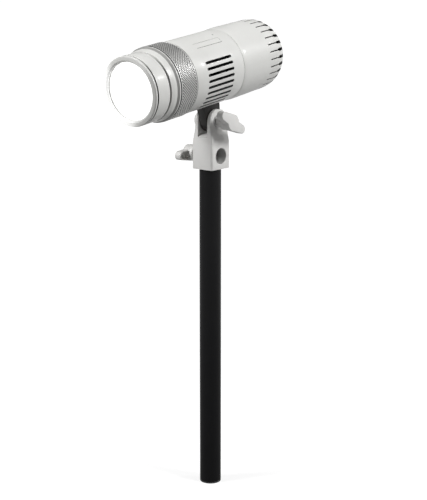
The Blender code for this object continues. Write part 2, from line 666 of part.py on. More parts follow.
def build_lug():
    """The black lug that carries the head, shaped to the housing, with its two screws."""
    inside = HOUSING_RADIUS
    outline = arc(0, 0, LUG_RADIUS, 180, 360, 14) + [(LUG_ROOT_HALF, HEAD_RISE - inside),
                                                     (LUG_ROOT_HALF, HEAD_RISE - inside / 2),
                                                     (-LUG_ROOT_HALF, HEAD_RISE - inside / 2),
                                                     (-LUG_ROOT_HALF, HEAD_RISE - inside)]
    lug = extruded("mount_lug", outline, LUG_THICKNESS, TILT, base=-LUG_THICKNESS / 2,
                   rotation=(math.pi / 2, 0, math.pi / 2), look=BLACK_METAL)
    bevel(lug, 0.0005, 1)
    across = Matrix.Translation((0, 0, HEAD_RISE)) @ Matrix.Rotation(math.pi / 2, 4, "X")
    boolean(lug, cylinders("lug_saddle_cutter", [
        (HOUSING_RADIUS + SEAT_GAP, 3 * LUG_ROOT_HALF, across)], TILT, segments=VENTED_ROUND))
    holes = [(SCREW_HOLE, LUG_THICKNESS + 0.004, along_x(0, 0, 0))]
    for sign in (-1, 1):
        middle = HEAD_RISE - HOUSING_RADIUS
        holes.append((LUG_SCREW_RADIUS + BORE_GAP, 2 * LUG_SCREW_LENGTH,
                      Matrix.Translation((0, sign * LUG_SCREW_PITCH / 2, middle))))
    boolean(lug, cylinders("lug_hole_cutters", holes, TILT))
    finish_round(lug)
    seat = -(HOUSING_INNER - SEAT_GAP)
    head_top = seat + LUG_SCREW_HEAD_HEIGHT
    tip = -HOUSING_RADIUS - LUG_SCREW_LENGTH + 0.001
    for name, sign in (("lug_screw_front", -1), ("lug_screw_rear", 1)):
        screw = turned(name, [(0, head_top), (LUG_SCREW_HEAD - 0.0005, head_top),
                              (LUG_SCREW_HEAD, head_top - 0.0005), (LUG_SCREW_HEAD, seat),
                              (LUG_SCREW_RADIUS, seat), (LUG_SCREW_RADIUS, tip), (0, tip)], TILT,
                       ring=False, segments=SMALL_ROUND,
                       location=(0, sign * LUG_SCREW_PITCH / 2, HEAD_RISE), look=STEEL)
        smooth(screw.data)


def vent_angles():
    half = (VENT_COUNT - 1) / 2
    right = [VENT_MIDDLE_ANGLE + VENT_PITCH * (i - half) for i in range(VENT_COUNT)]
    return right + [180 - angle for angle in right]


def sector(radius_in, radius_out, middle, half_angle, steps=4):
    return (arc(0, 0, radius_out, middle - half_angle, middle + half_angle, steps)
            + arc(0, 0, radius_in, middle + half_angle, middle - half_angle, steps))


def build_middle_housing():
    spigot = HOUSING_INNER + SPIGOT_WALL
    end = HOUSING_BACK - SPIGOT_LENGTH
    housing = turned("middle_housing", [
        (HOUSING_RADIUS, HOUSING_FRONT), (HOUSING_RADIUS, HOUSING_BACK + 0.0006),
        (HOUSING_RADIUS - 0.0006, HOUSING_BACK),
        (spigot, HOUSING_BACK), (spigot, end), (HOUSING_INNER, end), (HOUSING_INNER, HOUSING_FRONT)],
        OPTICS, segments=VENTED_ROUND, look=BODY_GREY)
    boolean(housing, stadium_bars("side_vent_cutters", [
        (angle, VENT_WIDTH, VENT_FRONT, VENT_BACK, HOUSING_RADIUS) for angle in vent_angles()],
        4 * HOUSING_WALL, OPTICS))
    half = math.degrees(STRIP_WIDTH / 2 / HOUSING_RADIUS)
    slack = math.degrees(SEAT_GAP / HOUSING_RADIUS)
    floor = HOUSING_RADIUS - STRIP_THICKNESS
    length = STRIP_FRONT - STRIP_BACK
    boolean(housing, extruded("strip_recess_cutter",
                              sector(floor - SEAT_GAP, HOUSING_RADIUS + 0.002, STRIP_ANGLE, half + slack),
                              length + 2 * SEAT_GAP, OPTICS, base=STRIP_BACK - SEAT_GAP))
    indicator = around(INDICATOR_ANGLE, HOUSING_RADIUS - HOUSING_WALL / 2, INDICATOR_STATION)
    holes = [(INDICATOR_RADIUS + BORE_GAP, 2 * HOUSING_WALL,
              indicator @ Matrix.Rotation(math.pi / 2, 4, "Y"))]
    for sign in (-1, 1):
        holes.append((LUG_SCREW_RADIUS + BORE_GAP, 2 * HOUSING_WALL,
                      Matrix.Translation((0, -HOUSING_RADIUS + HOUSING_WALL / 2,
                                          HEAD_SETBACK + sign * LUG_SCREW_PITCH / 2))
                      @ Matrix.Rotation(math.pi / 2, 4, "X")))
    boolean(housing, cylinders("housing_hole_cutters", holes, OPTICS))
    finish_round(housing)
    strip = extruded("control_strip", sector(floor, HOUSING_RADIUS, STRIP_ANGLE, half), length, OPTICS,
                     base=STRIP_BACK, look=STRIP_GREY)
    smooth(strip.data)
    flush = HOUSING_RADIUS
    light = turned("indicator_light", [
        (0, flush + 0.0003), (INDICATOR_RADIUS * 0.7, flush + 0.0002), (INDICATOR_RADIUS, flush - 0.0002),
        (INDICATOR_RADIUS, flush - HOUSING_WALL), (0, flush - HOUSING_WALL)], OPTICS, ring=False,
        segments=SMALL_ROUND, location=(0, 0, INDICATOR_STATION), order="YXZ",
        rotation=(0, math.pi / 2, math.radians(INDICATOR_ANGLE)), look=INDICATOR)
    smooth(light.data)


def build_front():
    """The inner tube with the nose collar on its end and the focus ring that turns on it."""
    flange = HOUSING_INNER - SEAT_GAP
    flange_front = HOUSING_FRONT - TUBE_IN_FLANGE
    tube = turned("front_tube", [
        (TUBE_RADIUS, TUBE_FRONT), (TUBE_RADIUS, flange_front), (flange, flange_front),
        (flange, TUBE_BACK), (TUBE_INNER, TUBE_BACK), (TUBE_INNER, TUBE_FRONT)], OPTICS,
        look=BLACK_METAL)
    smooth(tube.data)
    bore = TUBE_RADIUS + SEAT_GAP
    ring = turned("focus_ring", [
        (RING_RADIUS - RING_EDGE, RING_FRONT), (RING_RADIUS, RING_FRONT - RING_EDGE),
        (RING_RADIUS, RING_BACK + RING_EDGE), (RING_RADIUS - RING_EDGE, RING_BACK), (bore, RING_BACK),
        (bore, RING_FRONT)], OPTICS, look=ALUMINIUM)
    smooth(ring.data)
    profile = [(TUBE_INNER, COLLAR_FRONT), (COLLAR_NOSE_RADIUS - 0.0003, COLLAR_FRONT),
               (COLLAR_NOSE_RADIUS, COLLAR_FRONT - 0.0003), (COLLAR_COVE_RADIUS, COLLAR_COVE_FRONT)]
    rise = COLLAR_LIP_RADIUS - COLLAR_COVE_RADIUS
    run = COLLAR_COVE_FRONT - COLLAR_LIP_FRONT
    for i in range(1, 3):
        part = i / 3
        profile.append((COLLAR_COVE_RADIUS + rise * part ** 1.6, COLLAR_COVE_FRONT - run * part))
    profile += [(COLLAR_LIP_RADIUS, COLLAR_LIP_FRONT), (COLLAR_LIP_RADIUS, COLLAR_BACK),
                (bore, COLLAR_BACK), (bore, COLLAR_SEAT), (TUBE_INNER, COLLAR_SEAT)]
    collar = turned("nose_collar", profile, OPTICS, look=BODY_GREY)
    smooth(collar.data)


def build_barrel():
    """The telescoping barrel with the lens, its gasket and the ring that holds them."""
    groove = BARREL_RADIUS - GROOVE_DEPTH
    front = BARREL_FRONT
    profile = [(BEZEL_OPENING + 0.0008, front), (BARREL_RADIUS - BEZEL_ROUND, front)]
    profile += [(BARREL_RADIUS - BEZEL_ROUND + BEZEL_ROUND * math.sin(math.radians(a)),
                 front - BEZEL_ROUND + BEZEL_ROUND * math.cos(math.radians(a))) for a in (45, 90)]
    profile += [(BARREL_RADIUS, GROOVE_FRONT), (groove, GROOVE_FRONT),
                (groove, GROOVE_BACK), (BARREL_RADIUS, GROOVE_BACK), (BARREL_RADIUS, BARREL_BACK),
                (SLEEVE_RADIUS, BARREL_BACK), (SLEEVE_RADIUS, SLEEVE_BACK), (SLEEVE_INNER, SLEEVE_BACK),
                (SLEEVE_INNER, BEZEL_LIP_BACK), (BEZEL_OPENING, BEZEL_LIP_BACK),
                (BEZEL_OPENING, front - 0.0006)]
    barrel = turned("lens_barrel", profile, OPTICS, look=BODY_GREY)
    smooth(barrel.data)
    gasket_front = BEZEL_LIP_BACK - SEAT_GAP
    gasket = turned("lens_gasket", [
        (LENS_RADIUS, gasket_front), (LENS_RADIUS, gasket_front - GASKET_THICKNESS),
        (BEZEL_OPENING, gasket_front - GASKET_THICKNESS), (BEZEL_OPENING, gasket_front)], OPTICS,
        segments=HIDDEN_ROUND, look=RUBBER)
    smooth(gasket.data)
    dome_radius = BEZEL_OPENING - SEAT_GAP
    profile = [(0, LENS_FRONT + LENS_DOME)]
    for i in range(1, 5):
        part = i / 4
        profile.append((dome_radius * part, LENS_FRONT + LENS_DOME * (1 - part ** 2)))
    profile += [(LENS_RADIUS, LENS_FRONT), (LENS_RADIUS, LENS_FRONT - LENS_EDGE),
                (0, LENS_FRONT - LENS_EDGE)]
    lens = turned("front_lens", profile, OPTICS, ring=False, look=GLASS)
    smooth(lens.data)
    retainer_front = LENS_FRONT - LENS_EDGE - SEAT_GAP
    retainer = turned("lens_retainer", [
        (LENS_RADIUS, retainer_front), (LENS_RADIUS, retainer_front - RETAINER_LENGTH),
        (RETAINER_OPENING, retainer_front - RETAINER_LENGTH), (RETAINER_OPENING, retainer_front)],
        OPTICS, segments=HIDDEN_ROUND, look=BLACK_METAL)
    smooth(retainer.data)


def build_light_engine():
    """The finned heat sink, the emitter board on its face and the reflector in front of it."""
    base_radius = HOUSING_INNER - SEAT_GAP
    sink = turned("heat_sink", [
        (0, SINK_BASE_FRONT), (base_radius, SINK_BASE_FRONT), (base_radius, SINK_BASE_BACK),
        (SINK_CORE_RADIUS, SINK_BASE_BACK), (SINK_CORE_RADIUS, SINK_BACK), (0, SINK_BACK)], OPTICS,
        ring=False, segments=HIDDEN_ROUND, look=ALUMINIUM)
    root = SINK_CORE_RADIUS - 0.0010
    tip = HOUSING_INNER - FIN_TIP_GAP
    fin_back = SINK_BACK + 0.0004
    fin_front = SINK_BASE_BACK + 0.0010
    fins = []
    for i in range(FIN_COUNT):
        lay = around(360 * (i + 0.4) / FIN_COUNT, (root + tip) / 2, (fin_front + fin_back) / 2)
        fins.append(((tip - root, FIN_THICKNESS, fin_front - fin_back), lay))
    boolean(sink, boxes("heat_sink_fins", fins, OPTICS), "UNION")
    finish_round(sink)
    board_back = SINK_BASE_FRONT + SEAT_GAP
    board_front = board_back + BOARD_THICKNESS
    board = turned("led_board", [(0, board_front), (BOARD_RADIUS, board_front),
                                 (BOARD_RADIUS, board_back), (0, board_back)], OPTICS, ring=False,
                   segments=HIDDEN_ROUND, look=BOARD_WHITE)
    smooth(board.data)
    emitter_back = board_front + SEAT_GAP
    profile = [(EMITTER_RADIUS * math.sin(math.radians(a)),
                emitter_back + EMITTER_HEIGHT * math.cos(math.radians(a))) for a in (0, 25, 50, 75, 90)]
    emitter = turned("led_emitter", profile + [(0, emitter_back)], OPTICS, ring=False, segments=SMALL_ROUND,
                     look=EMITTER_YELLOW)
    smooth(emitter.data)
    throat = board_front + SEAT_GAP
    mouth = TUBE_INNER - SEAT_GAP - REFLECTOR_WALL
    span = REFLECTOR_FRONT - throat
    inner = [(REFLECTOR_THROAT + (mouth - REFLECTOR_THROAT) * (i / 4), throat + span * (i / 4) ** 1.7)
             for i in range(5)]
    outer = [(radius + REFLECTOR_WALL, station) for radius, station in inner]
    reflector = turned("reflector", outer[::-1] + inner, OPTICS, segments=HIDDEN_ROUND, look=MIRROR)
    smooth(reflector.data)


def rear_outer(station):
    """The rear housing's outer radius in front of its round shoulder."""
    part = min(max((REAR_STRAIGHT - station) / (REAR_STRAIGHT - REAR_SHOULDER), 0), 1)
    return REAR_RADIUS + (REAR_TAIL_RADIUS - REAR_RADIUS) * part


def shoulder_radius(station, tail_radius, end):
    part = min((REAR_SHOULDER - station) / (REAR_SHOULDER - end), 1)
    return RECESS_RADIUS + (tail_radius - RECESS_RADIUS) * (1 - part ** SHOULDER_POWER) ** (1 / SHOULDER_POWER)


def shoulder(tail_radius, end, steps):
    """Points round the shoulder from the side wall to the flat back."""
    points = []
    for i in range(1, steps + 1):
        station = REAR_SHOULDER + (end - REAR_SHOULDER) * math.sin(math.pi / 2 * i / steps)
        points.append((shoulder_radius(station, tail_radius, end), station))
    return points


def build_rear_housing():
    front = HOUSING_BACK - SEAT_GAP
    inner_tail = REAR_TAIL_RADIUS - REAR_WALL
    outer = [(REAR_RADIUS - REAR_EDGE, front)]
    outer += [(REAR_RADIUS - REAR_EDGE + REAR_EDGE * math.sin(math.radians(a)),
               front - REAR_EDGE + REAR_EDGE * math.cos(math.radians(a))) for a in (45, 90)]
    outer += [(REAR_RADIUS, REAR_STRAIGHT), (REAR_TAIL_RADIUS, REAR_SHOULDER)]
    outer += shoulder(REAR_TAIL_RADIUS, REAR_BACK, 5)
    inner = shoulder(inner_tail, INNER_FLOOR, 3)[::-1]
    inner += [(inner_tail, REAR_SHOULDER), (REAR_RADIUS - REAR_WALL, REAR_STRAIGHT),
              (REAR_RADIUS - REAR_WALL, front)]
    centre = [(RECESS_RADIUS, RECESS_FLOOR), (0, RECESS_FLOOR), (0, INNER_FLOOR)]
    facet_to_slot = math.radians(SLOT_FIRST_ANGLE + 180 / SLOT_COUNT)
    housing = turned("rear_housing", outer + centre + inner, OPTICS, segments=SLOT_COUNT,
                     rotation=(0, 0, facet_to_slot), look=BODY_GREY)
    drop_axis_edge(housing)
    angles = [SLOT_FIRST_ANGLE + 360 / SLOT_COUNT * i for i in range(SLOT_COUNT)]
    deep = REAR_RADIUS + 0.003
    narrow_mid = (SLOT_FLOOR + deep) / 2
    boolean(housing, stadium_bars("rear_slot_cutters", [
        (angle, SLOT_WIDTH, SLOT_FRONT, SLOT_STEP - SLOT_WIDTH, narrow_mid) for angle in angles],
        deep - SLOT_FLOOR, OPTICS, sides=6))
    wide_depth = deep - RECESS_RADIUS - 0.004
    boolean(housing, stadium_bars("shoulder_slot_cutters", [
        (angle, SLOT_WIDE, SLOT_STEP, SLOT_END, deep - wide_depth / 2) for angle in angles],
        wide_depth, OPTICS, sides=6))
    boolean(housing, panel_cutters("rear_floor_cutters", RECESS_FLOOR - 0.002, INNER_FLOOR + 0.002))
    finish_round(housing)


def panel_cutters(name, back, front):
    """The holes that the control plate and the housing's back share."""
    depth = front - back
    middle = (front + back) / 2
    solid = bmesh.new()
    rounds = [(0, DIMMER_UP, DIMMER_BUSH_RADIUS + SEAT_GAP),
              (SOCKET_ASIDE, SWITCH_DOWN, SOCKET_BODY_RADIUS + SEAT_GAP),
              (PANEL_SCREW_ASIDE, PANEL_SCREW_UP, PANEL_SCREW_RADIUS + BORE_GAP),
              (-PANEL_SCREW_ASIDE, PANEL_SCREW_UP, PANEL_SCREW_RADIUS + BORE_GAP)]
    for x, y, radius in rounds:
        bmesh.ops.create_cone(solid, cap_ends=True, segments=SMALL_ROUND, radius1=radius, radius2=radius,
                              depth=depth, matrix=Matrix.Translation((x, y, middle)))
    wide = 2 * (SWITCH_POCKET_HALF_X + SWITCH_WALL + SEAT_GAP)
    tall = 2 * (SWITCH_POCKET_HALF_Y + SWITCH_WALL + SEAT_GAP)
    bmesh.ops.create_cube(solid, size=1.0,
                          matrix=Matrix.Translation((SWITCH_ASIDE, SWITCH_DOWN, middle))
                          @ Matrix.Diagonal((wide, tall, depth, 1.0)))
    mesh = bpy.data.meshes.new(name)
    solid.to_mesh(mesh)
    solid.free()
    return add(name, mesh, OPTICS)


def build_panel():
    panel = turned("rear_panel", [
        (0, PANEL_FRONT), (PANEL_RADIUS, PANEL_FRONT), (PANEL_RADIUS, PANEL_BACK + 0.0003),
        (PANEL_RADIUS - 0.0003, PANEL_BACK), (0, PANEL_BACK)], OPTICS, ring=False,
        segments=HIDDEN_ROUND, look=BLACK_PLASTIC)
    boolean(panel, panel_cutters("rear_panel_cutters", PANEL_BACK - 0.002, PANEL_FRONT + 0.002))
    finish_round(panel)
    outside = PANEL_BACK - SEAT_GAP
    inside = INNER_FLOOR + SEAT_GAP
    bush_end = outside - 0.0016
    shaft_end = bush_end - 0.0040
    pot = turned("dimmer_pot", [
        (0, inside + DIMMER_BODY_DEPTH), (DIMMER_BODY_RADIUS, inside + DIMMER_BODY_DEPTH),
        (DIMMER_BODY_RADIUS, inside), (DIMMER_BUSH_RADIUS, inside), (DIMMER_BUSH_RADIUS, bush_end),
        (DIMMER_SHAFT_RADIUS, bush_end), (DIMMER_SHAFT_RADIUS, shaft_end), (0, shaft_end)], OPTICS,
        ring=False, segments=SMALL_ROUND, location=(0, DIMMER_UP, 0), look=STEEL)
    smooth(pot.data)
    end = outside - DIMMER_KNOB_HEIGHT
    bush_bore = DIMMER_BUSH_RADIUS + SEAT_GAP
    shaft_bore = DIMMER_SHAFT_RADIUS + SEAT_GAP
    knob = turned("dimmer_knob", [
        (DIMMER_KNOB_RADIUS, outside), (DIMMER_KNOB_RADIUS - 0.0004, end + 0.0008),
        (DIMMER_KNOB_RADIUS - 0.0012, end), (0, end), (0, shaft_end - SEAT_GAP),
        (shaft_bore, shaft_end - SEAT_GAP), (shaft_bore, bush_end - SEAT_GAP),
        (bush_bore, bush_end - SEAT_GAP), (bush_bore, outside)], OPTICS, segments=SMALL_ROUND,
        location=(0, DIMMER_UP, 0), look=BLACK_PLASTIC)
    drop_axis_edge(knob)
    smooth(knob.data)
    socket_in = inside + 0.0045
    socket = turned("power_inlet", [
        (0, socket_in), (SOCKET_BODY_RADIUS, socket_in), (SOCKET_BODY_RADIUS, outside),
        (SOCKET_FLANGE_RADIUS, outside), (SOCKET_FLANGE_RADIUS, outside - 0.0012),
        (SOCKET_HOLE_RADIUS, outside - 0.0012), (SOCKET_HOLE_RADIUS, socket_in - 0.0015),
        (SOCKET_PIN_RADIUS, socket_in - 0.0015), (SOCKET_PIN_RADIUS, outside), (0, outside)], OPTICS,
        ring=False, segments=SMALL_ROUND, location=(SOCKET_ASIDE, SWITCH_DOWN, 0), look=BLACK_PLASTIC)
    smooth(socket.data)
    tip = INNER_FLOOR + 0.0010
    for name, sign in (("panel_screw_left", -1), ("panel_screw_right", 1)):
        screw = turned(name, [
            (0, tip), (PANEL_SCREW_RADIUS, tip), (PANEL_SCREW_RADIUS, outside),
            (PANEL_SCREW_HEAD, outside), (PANEL_SCREW_HEAD, outside - 0.0006),
            (PANEL_SCREW_HEAD - 0.0005, outside - 0.0011), (0, outside - 0.0012)], OPTICS, ring=False,
            segments=SMALL_ROUND, location=(sign * PANEL_SCREW_ASIDE, PANEL_SCREW_UP, 0), look=STEEL)
        smooth(screw.data)


def drop_axis_edge(target):
    """Takes out the edge that would lie on the turning axis of a closed profile."""
    solid = bmesh.new()
    solid.from_mesh(target.data)
    on_axis = [edge for edge in solid.edges if all(vertex.co.x < 0.000001 for vertex in edge.verts)]
    bmesh.ops.delete(solid, geom=on_axis, context="EDGES_FACES")
    solid.to_mesh(target.data)
    solid.free()


def build_switch():
    outside = PANEL_BACK - SEAT_GAP
    body_x = SWITCH_POCKET_HALF_X + SWITCH_WALL
    body_y = SWITCH_POCKET_HALF_Y + SWITCH_WALL
    bezel_x = body_x + SWITCH_BEZEL
    bezel_y = body_y + SWITCH_BEZEL
    place = (SWITCH_ASIDE, SWITCH_DOWN, 0)
    deep = outside + SWITCH_DEPTH
    frame = boxes("switch_frame", [
        ((2 * bezel_x, 2 * bezel_y, SWITCH_BEZEL_HEIGHT),
         Matrix.Translation((0, 0, outside - SWITCH_BEZEL_HEIGHT / 2)))], OPTICS, location=place,
        look=BLACK_PLASTIC)
    bevel(frame, 0.0003)
    overlap = 0.0003
    boolean(frame, boxes("switch_body", [
        ((2 * body_x, 2 * body_y, SWITCH_DEPTH + overlap),
         Matrix.Translation((0, 0, (deep + outside - overlap) / 2)))], OPTICS, location=place), "UNION")
    pocket_end = SWITCH_PIVOT + ROCKER_RADIUS + 2 * SEAT_GAP
    pocket_mouth = outside - SWITCH_BEZEL_HEIGHT - 0.001
    boolean(frame, boxes("switch_pocket_cutter", [
        ((2 * SWITCH_POCKET_HALF_X, 2 * SWITCH_POCKET_HALF_Y, pocket_end - pocket_mouth),
         Matrix.Translation((0, 0, (pocket_end + pocket_mouth) / 2)))], OPTICS, location=place))
    finish_round(frame)
    brow = ROCKER_RADIUS * 0.63
    outline = arc(0, 0, ROCKER_RADIUS, 0, 180, 12)
    outline += [(-ROCKER_RADIUS * 0.93, -brow * 0.4), (-ROCKER_RADIUS * 0.89, -brow), (0, -brow * 0.76),
                (ROCKER_RADIUS * 0.89, -brow), (ROCKER_RADIUS * 0.93, -brow * 0.4)]
    width = 2 * (SWITCH_POCKET_HALF_X - SEAT_GAP)
    rocker = extruded("power_rocker", outline, width, OPTICS, base=-width / 2,
                      location=(SWITCH_ASIDE, SWITCH_DOWN, SWITCH_PIVOT), order="ZYX",
                      rotation=(0, math.pi / 2, math.pi / 2 + math.radians(ROCKER_TURN)),
                      look=BLACK_PLASTIC)
    smooth(rocker.data)


def build_fan():
    """The cooling fan's frame with its struts, and the rotor that turns on the frame's pin."""
    depth = FAN_FRONT - FAN_BACK
    corner = rear_outer(FAN_BACK) - REAR_WALL - SEAT_GAP
    duct = corner * FAN_SHARE - FAN_RIM
    half_corner = 45 - math.degrees(math.acos(FAN_SHARE))
    outline = []
    for turn in (45, 135, 225, 315):
        outline += arc(0, 0, corner, turn - half_corner, turn + half_corner, 4)
    frame = extruded("fan_frame", outline, depth, OPTICS, base=FAN_BACK, look=BLACK_PLASTIC)
    boolean(frame, cylinders("fan_duct_cutter", [
        (duct, depth + 0.002, Matrix.Translation((0, 0, (FAN_FRONT + FAN_BACK) / 2)))],
        OPTICS, segments=ROUND))
    reach = duct + 0.001
    half_strut = FAN_STRUT / 2
    lean = math.degrees(math.asin(half_strut / FAN_HUB_RADIUS))
    outline = []
    for turn in (45, 135, 225, 315):
        out = Vector((math.cos(math.radians(turn)), math.sin(math.radians(turn))))
        side = Vector((-out.y, out.x)) * half_strut
        outline += [tuple(out * reach - side), tuple(out * reach + side)]
        outline += arc(0, 0, FAN_HUB_RADIUS, turn + lean, turn + 90 - lean, 5)
    spider = extruded("fan_spider", outline, FAN_PLATE, OPTICS, base=FAN_BACK + 0.0002)
    boolean(frame, spider, "UNION")
    pin_end = FAN_FRONT - 0.0030
    pin_root = FAN_BACK + 0.0006
    boolean(frame, cylinders("fan_pin", [
        (FAN_PIN_RADIUS, pin_end - pin_root, Matrix.Translation((0, 0, (pin_end + pin_root) / 2)))],
        OPTICS), "UNION")
    finish_round(frame)
    back = FAN_BACK + FAN_PLATE + 0.0002 + SEAT_GAP
    front = FAN_FRONT - 0.0008
    bore = FAN_PIN_RADIUS + SEAT_GAP
    rotor = turned("fan_rotor", [
        (0, front), (FAN_HUB_RADIUS - 0.0006, front), (FAN_HUB_RADIUS, front - 0.0006),
        (FAN_HUB_RADIUS, back), (FAN_HUB_RADIUS - 0.0012, back), (FAN_HUB_RADIUS - 0.0012, front - 0.0015),
        (bore + 0.0012, front - 0.0015), (bore + 0.0012, back), (bore, back),
        (bore, pin_end + SEAT_GAP), (0, pin_end + SEAT_GAP)], OPTICS, ring=False, segments=SMALL_ROUND,
        look=BLACK_PLASTIC)
    tip = duct - BLADE_TIP_GAP
    root = FAN_HUB_RADIUS - 0.0006
    blades = []
    for i in range(BLADE_COUNT):
        turn = Matrix.Rotation(2 * math.pi * i / BLADE_COUNT, 4, "Z")
        pitch = Matrix.Rotation(math.radians(BLADE_PITCH), 4, "X")
        blades.append(((tip - root, BLADE_CHORD, BLADE_THICKNESS),
                       turn @ Matrix.Translation(((tip + root) / 2, 0, (front + back) / 2)) @ pitch))
    boolean(rotor, boxes("fan_blades", blades, OPTICS), "UNION")
    finish_round(rotor)


def build_driver():
    edge = rear_outer(DRIVER_FRONT - BOARD_THICKNESS) - REAR_WALL - SEAT_GAP
    back = DRIVER_FRONT - BOARD_THICKNESS
    board = turned("driver_board", [(edge, DRIVER_FRONT), (edge, back), (DRIVER_HOLE, back),
                                    (DRIVER_HOLE, DRIVER_FRONT)], OPTICS, segments=HIDDEN_ROUND,
                   look=BOARD_GREEN)
    middle_radius = (edge + DRIVER_HOLE) / 2
    coils = []
    for angle in (40, 140, 270):
        spot = around(angle, middle_radius, back - COIL_HEIGHT / 2 + 0.0004)
        coils.append((COIL_RADIUS, COIL_HEIGHT + 0.0008, spot))
    boolean(board, cylinders("driver_coils", coils, OPTICS), "UNION")
    finish_round(board)


clear_scene()
PARTS = make_collection("led_photography_spotlight")
CUTTERS = make_collection("cutters")

BODY_GREY = material("body_grey", (0.72, 0.72, 0.70), 0.42)
BRACKET_GREY = material("bracket_grey", (0.62, 0.62, 0.60), 0.5)
KNOB_GREY = material("knob_grey", (0.63, 0.63, 0.61), 0.5)
STRIP_GREY = material("strip_grey", (0.68, 0.68, 0.63), 0.35)
BLACK_PAINT = material("black_paint", (0.012, 0.012, 0.012), 0.38)
BLACK_METAL = material("black_metal", (0.02, 0.019, 0.018), 0.45)
BLACK_PLASTIC = material("black_plastic", (0.02, 0.02, 0.02), 0.5)
ALUMINIUM = material("aluminium", (0.62, 0.62, 0.61), 0.35, 0.9)
STEEL = material("steel", (0.5, 0.5, 0.5), 0.3, 1.0)
BRASS = material("brass", (0.6, 0.47, 0.22), 0.3, 1.0)
RUBBER = material("rubber", (0.02, 0.02, 0.02), 0.8)
GLASS = material("lens_glass", (0.95, 0.97, 1.0), 0.05)
MIRROR = material("reflector_mirror", (0.85, 0.85, 0.87), 0.08, 1.0)
BOARD_WHITE = material("board_white", (0.85, 0.85, 0.83), 0.4)
BOARD_GREEN = material("board_green", (0.03, 0.16, 0.07), 0.5)
EMITTER_YELLOW = material("emitter_yellow", (0.9, 0.75, 0.2), 0.4)
INDICATOR = material("indicator_green", (0.35, 0.6, 0.4), 0.3)

ROOT = empty("pole_base")
BRACKET = empty("bracket_frame", ROOT, (0, 0, POLE_LENGTH))
TILT = empty("tilt_frame", BRACKET, (0, 0, PIVOT_HEIGHT), (math.radians(HEAD_DROOP), 0, 0))
OPTICS = empty("optical_frame", TILT, (0, HEAD_SETBACK, HEAD_RISE), (math.pi / 2, 0, 0))

build_pole()
build_bracket()
build_pivot()
build_knobs()
build_lug()
build_middle_housing()
build_front()
build_barrel()
build_light_engine()
build_rear_housing()
build_fan()
build_driver()
build_panel()
build_switch()
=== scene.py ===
"""LED photography spotlight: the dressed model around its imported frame, with its studio.

The lamp head's own frame has X along the tilt axis, Y up from the barrel's axis and Z towards the lens.
Stations are Z values in that frame. Everything is in metres.
"""
import json
import math
from contextlib import contextmanager

import bmesh
import bpy
from bpy.props import FloatProperty, FloatVectorProperty, IntProperty, PointerProperty
from bpy.types import Operator, Panel, PropertyGroup
from mathutils import Matrix, Vector


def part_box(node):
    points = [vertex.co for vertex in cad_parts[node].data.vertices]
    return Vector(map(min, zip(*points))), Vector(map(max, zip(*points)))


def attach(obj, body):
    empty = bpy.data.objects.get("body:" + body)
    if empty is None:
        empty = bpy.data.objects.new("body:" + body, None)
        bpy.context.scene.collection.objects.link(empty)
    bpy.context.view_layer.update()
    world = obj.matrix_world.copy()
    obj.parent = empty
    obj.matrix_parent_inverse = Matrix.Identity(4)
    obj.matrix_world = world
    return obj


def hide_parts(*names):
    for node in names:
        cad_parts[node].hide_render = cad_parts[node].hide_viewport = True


bl_info = {
    "name": "LED Photography Spotlight",
    "version": (1, 0, 0),
    "blender": (4, 5, 0),
    "location": "3D View > Sidebar > Spotlight",
    "description": "Builds a focusing LED spotlight on its pole, with its finishes and a plain studio",
    "category": "Object",
}

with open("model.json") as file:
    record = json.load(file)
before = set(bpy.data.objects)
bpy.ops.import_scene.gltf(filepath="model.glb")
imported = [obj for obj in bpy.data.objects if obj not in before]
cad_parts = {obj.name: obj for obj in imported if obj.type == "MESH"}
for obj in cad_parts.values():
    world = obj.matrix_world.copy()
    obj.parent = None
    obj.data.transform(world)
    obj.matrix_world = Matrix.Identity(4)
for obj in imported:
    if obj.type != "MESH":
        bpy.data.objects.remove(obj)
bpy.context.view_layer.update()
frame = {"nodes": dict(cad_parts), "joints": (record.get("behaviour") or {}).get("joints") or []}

JOINTS = {joint["name"]: joint for joint in frame["joints"]}
PIVOT = Vector(JOINTS["tilt"]["pos_m"])
HEAD_ORIGIN = Vector(JOINTS["focus_turn"]["pos_m"])
FORWARD = Vector(JOINTS["focus_turn"]["axis"]).normalized()
UP = FORWARD.cross(Vector((1, 0, 0)))
LOCK_CENTRE = Vector(JOINTS["lock_turn"]["pos_m"])
BLOCK_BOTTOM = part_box("bracket_block")[0].z

# Gap under a seated piece, the tilt bolt and its hole, and the outer face of the bracket's ears
SEAT = 0.0003
BOLT = 0.003
BOLT_HOLE = 0.00325
EAR_FACE = 0.0098


# Frames


def frame_matrix(x_axis, y_axis, z_axis, origin):
    rows = [(x_axis[i], y_axis[i], z_axis[i], origin[i]) for i in range(3)]
    return Matrix(rows + [(0, 0, 0, 1)])


def across(origin, side=1):
    """A frame with Y up whose Z runs to the right along X, or to the left for side -1."""
    return frame_matrix((0, side, 0), (0, 0, 1), (side, 0, 0), origin)


def move(x=0, y=0, z=0):
    return Matrix.Translation((x, y, z))


def spin(angle, axis="Z"):
    return Matrix.Rotation(angle, 4, axis)


QUARTER = math.pi / 2
HEAD = frame_matrix((1, 0, 0), UP, FORWARD, HEAD_ORIGIN)
LUG = frame_matrix((1, 0, 0), -FORWARD, UP, PIVOT)
WORLD = Matrix.Identity(4)
FRONT_PLANE = spin(QUARTER, "X")
SIDE_PLANE = across((0, 0, 0))
ALONG_X = spin(QUARTER, "Y")
BLOCK = move(z=BLOCK_BOTTOM)
TO_RIGHT = across(PIVOT)
TO_LEFT = across(PIVOT, -1)
LOCK_AXIS = across(LOCK_CENTRE)
LOCK_LEFT = across((0, 0, LOCK_CENTRE.z), -1)


# Sizes and colours


def length(name, text, size):
    return FloatProperty(name=name, description=text, default=size, min=0.0, subtype="DISTANCE",
                         unit="LENGTH", precision=5)


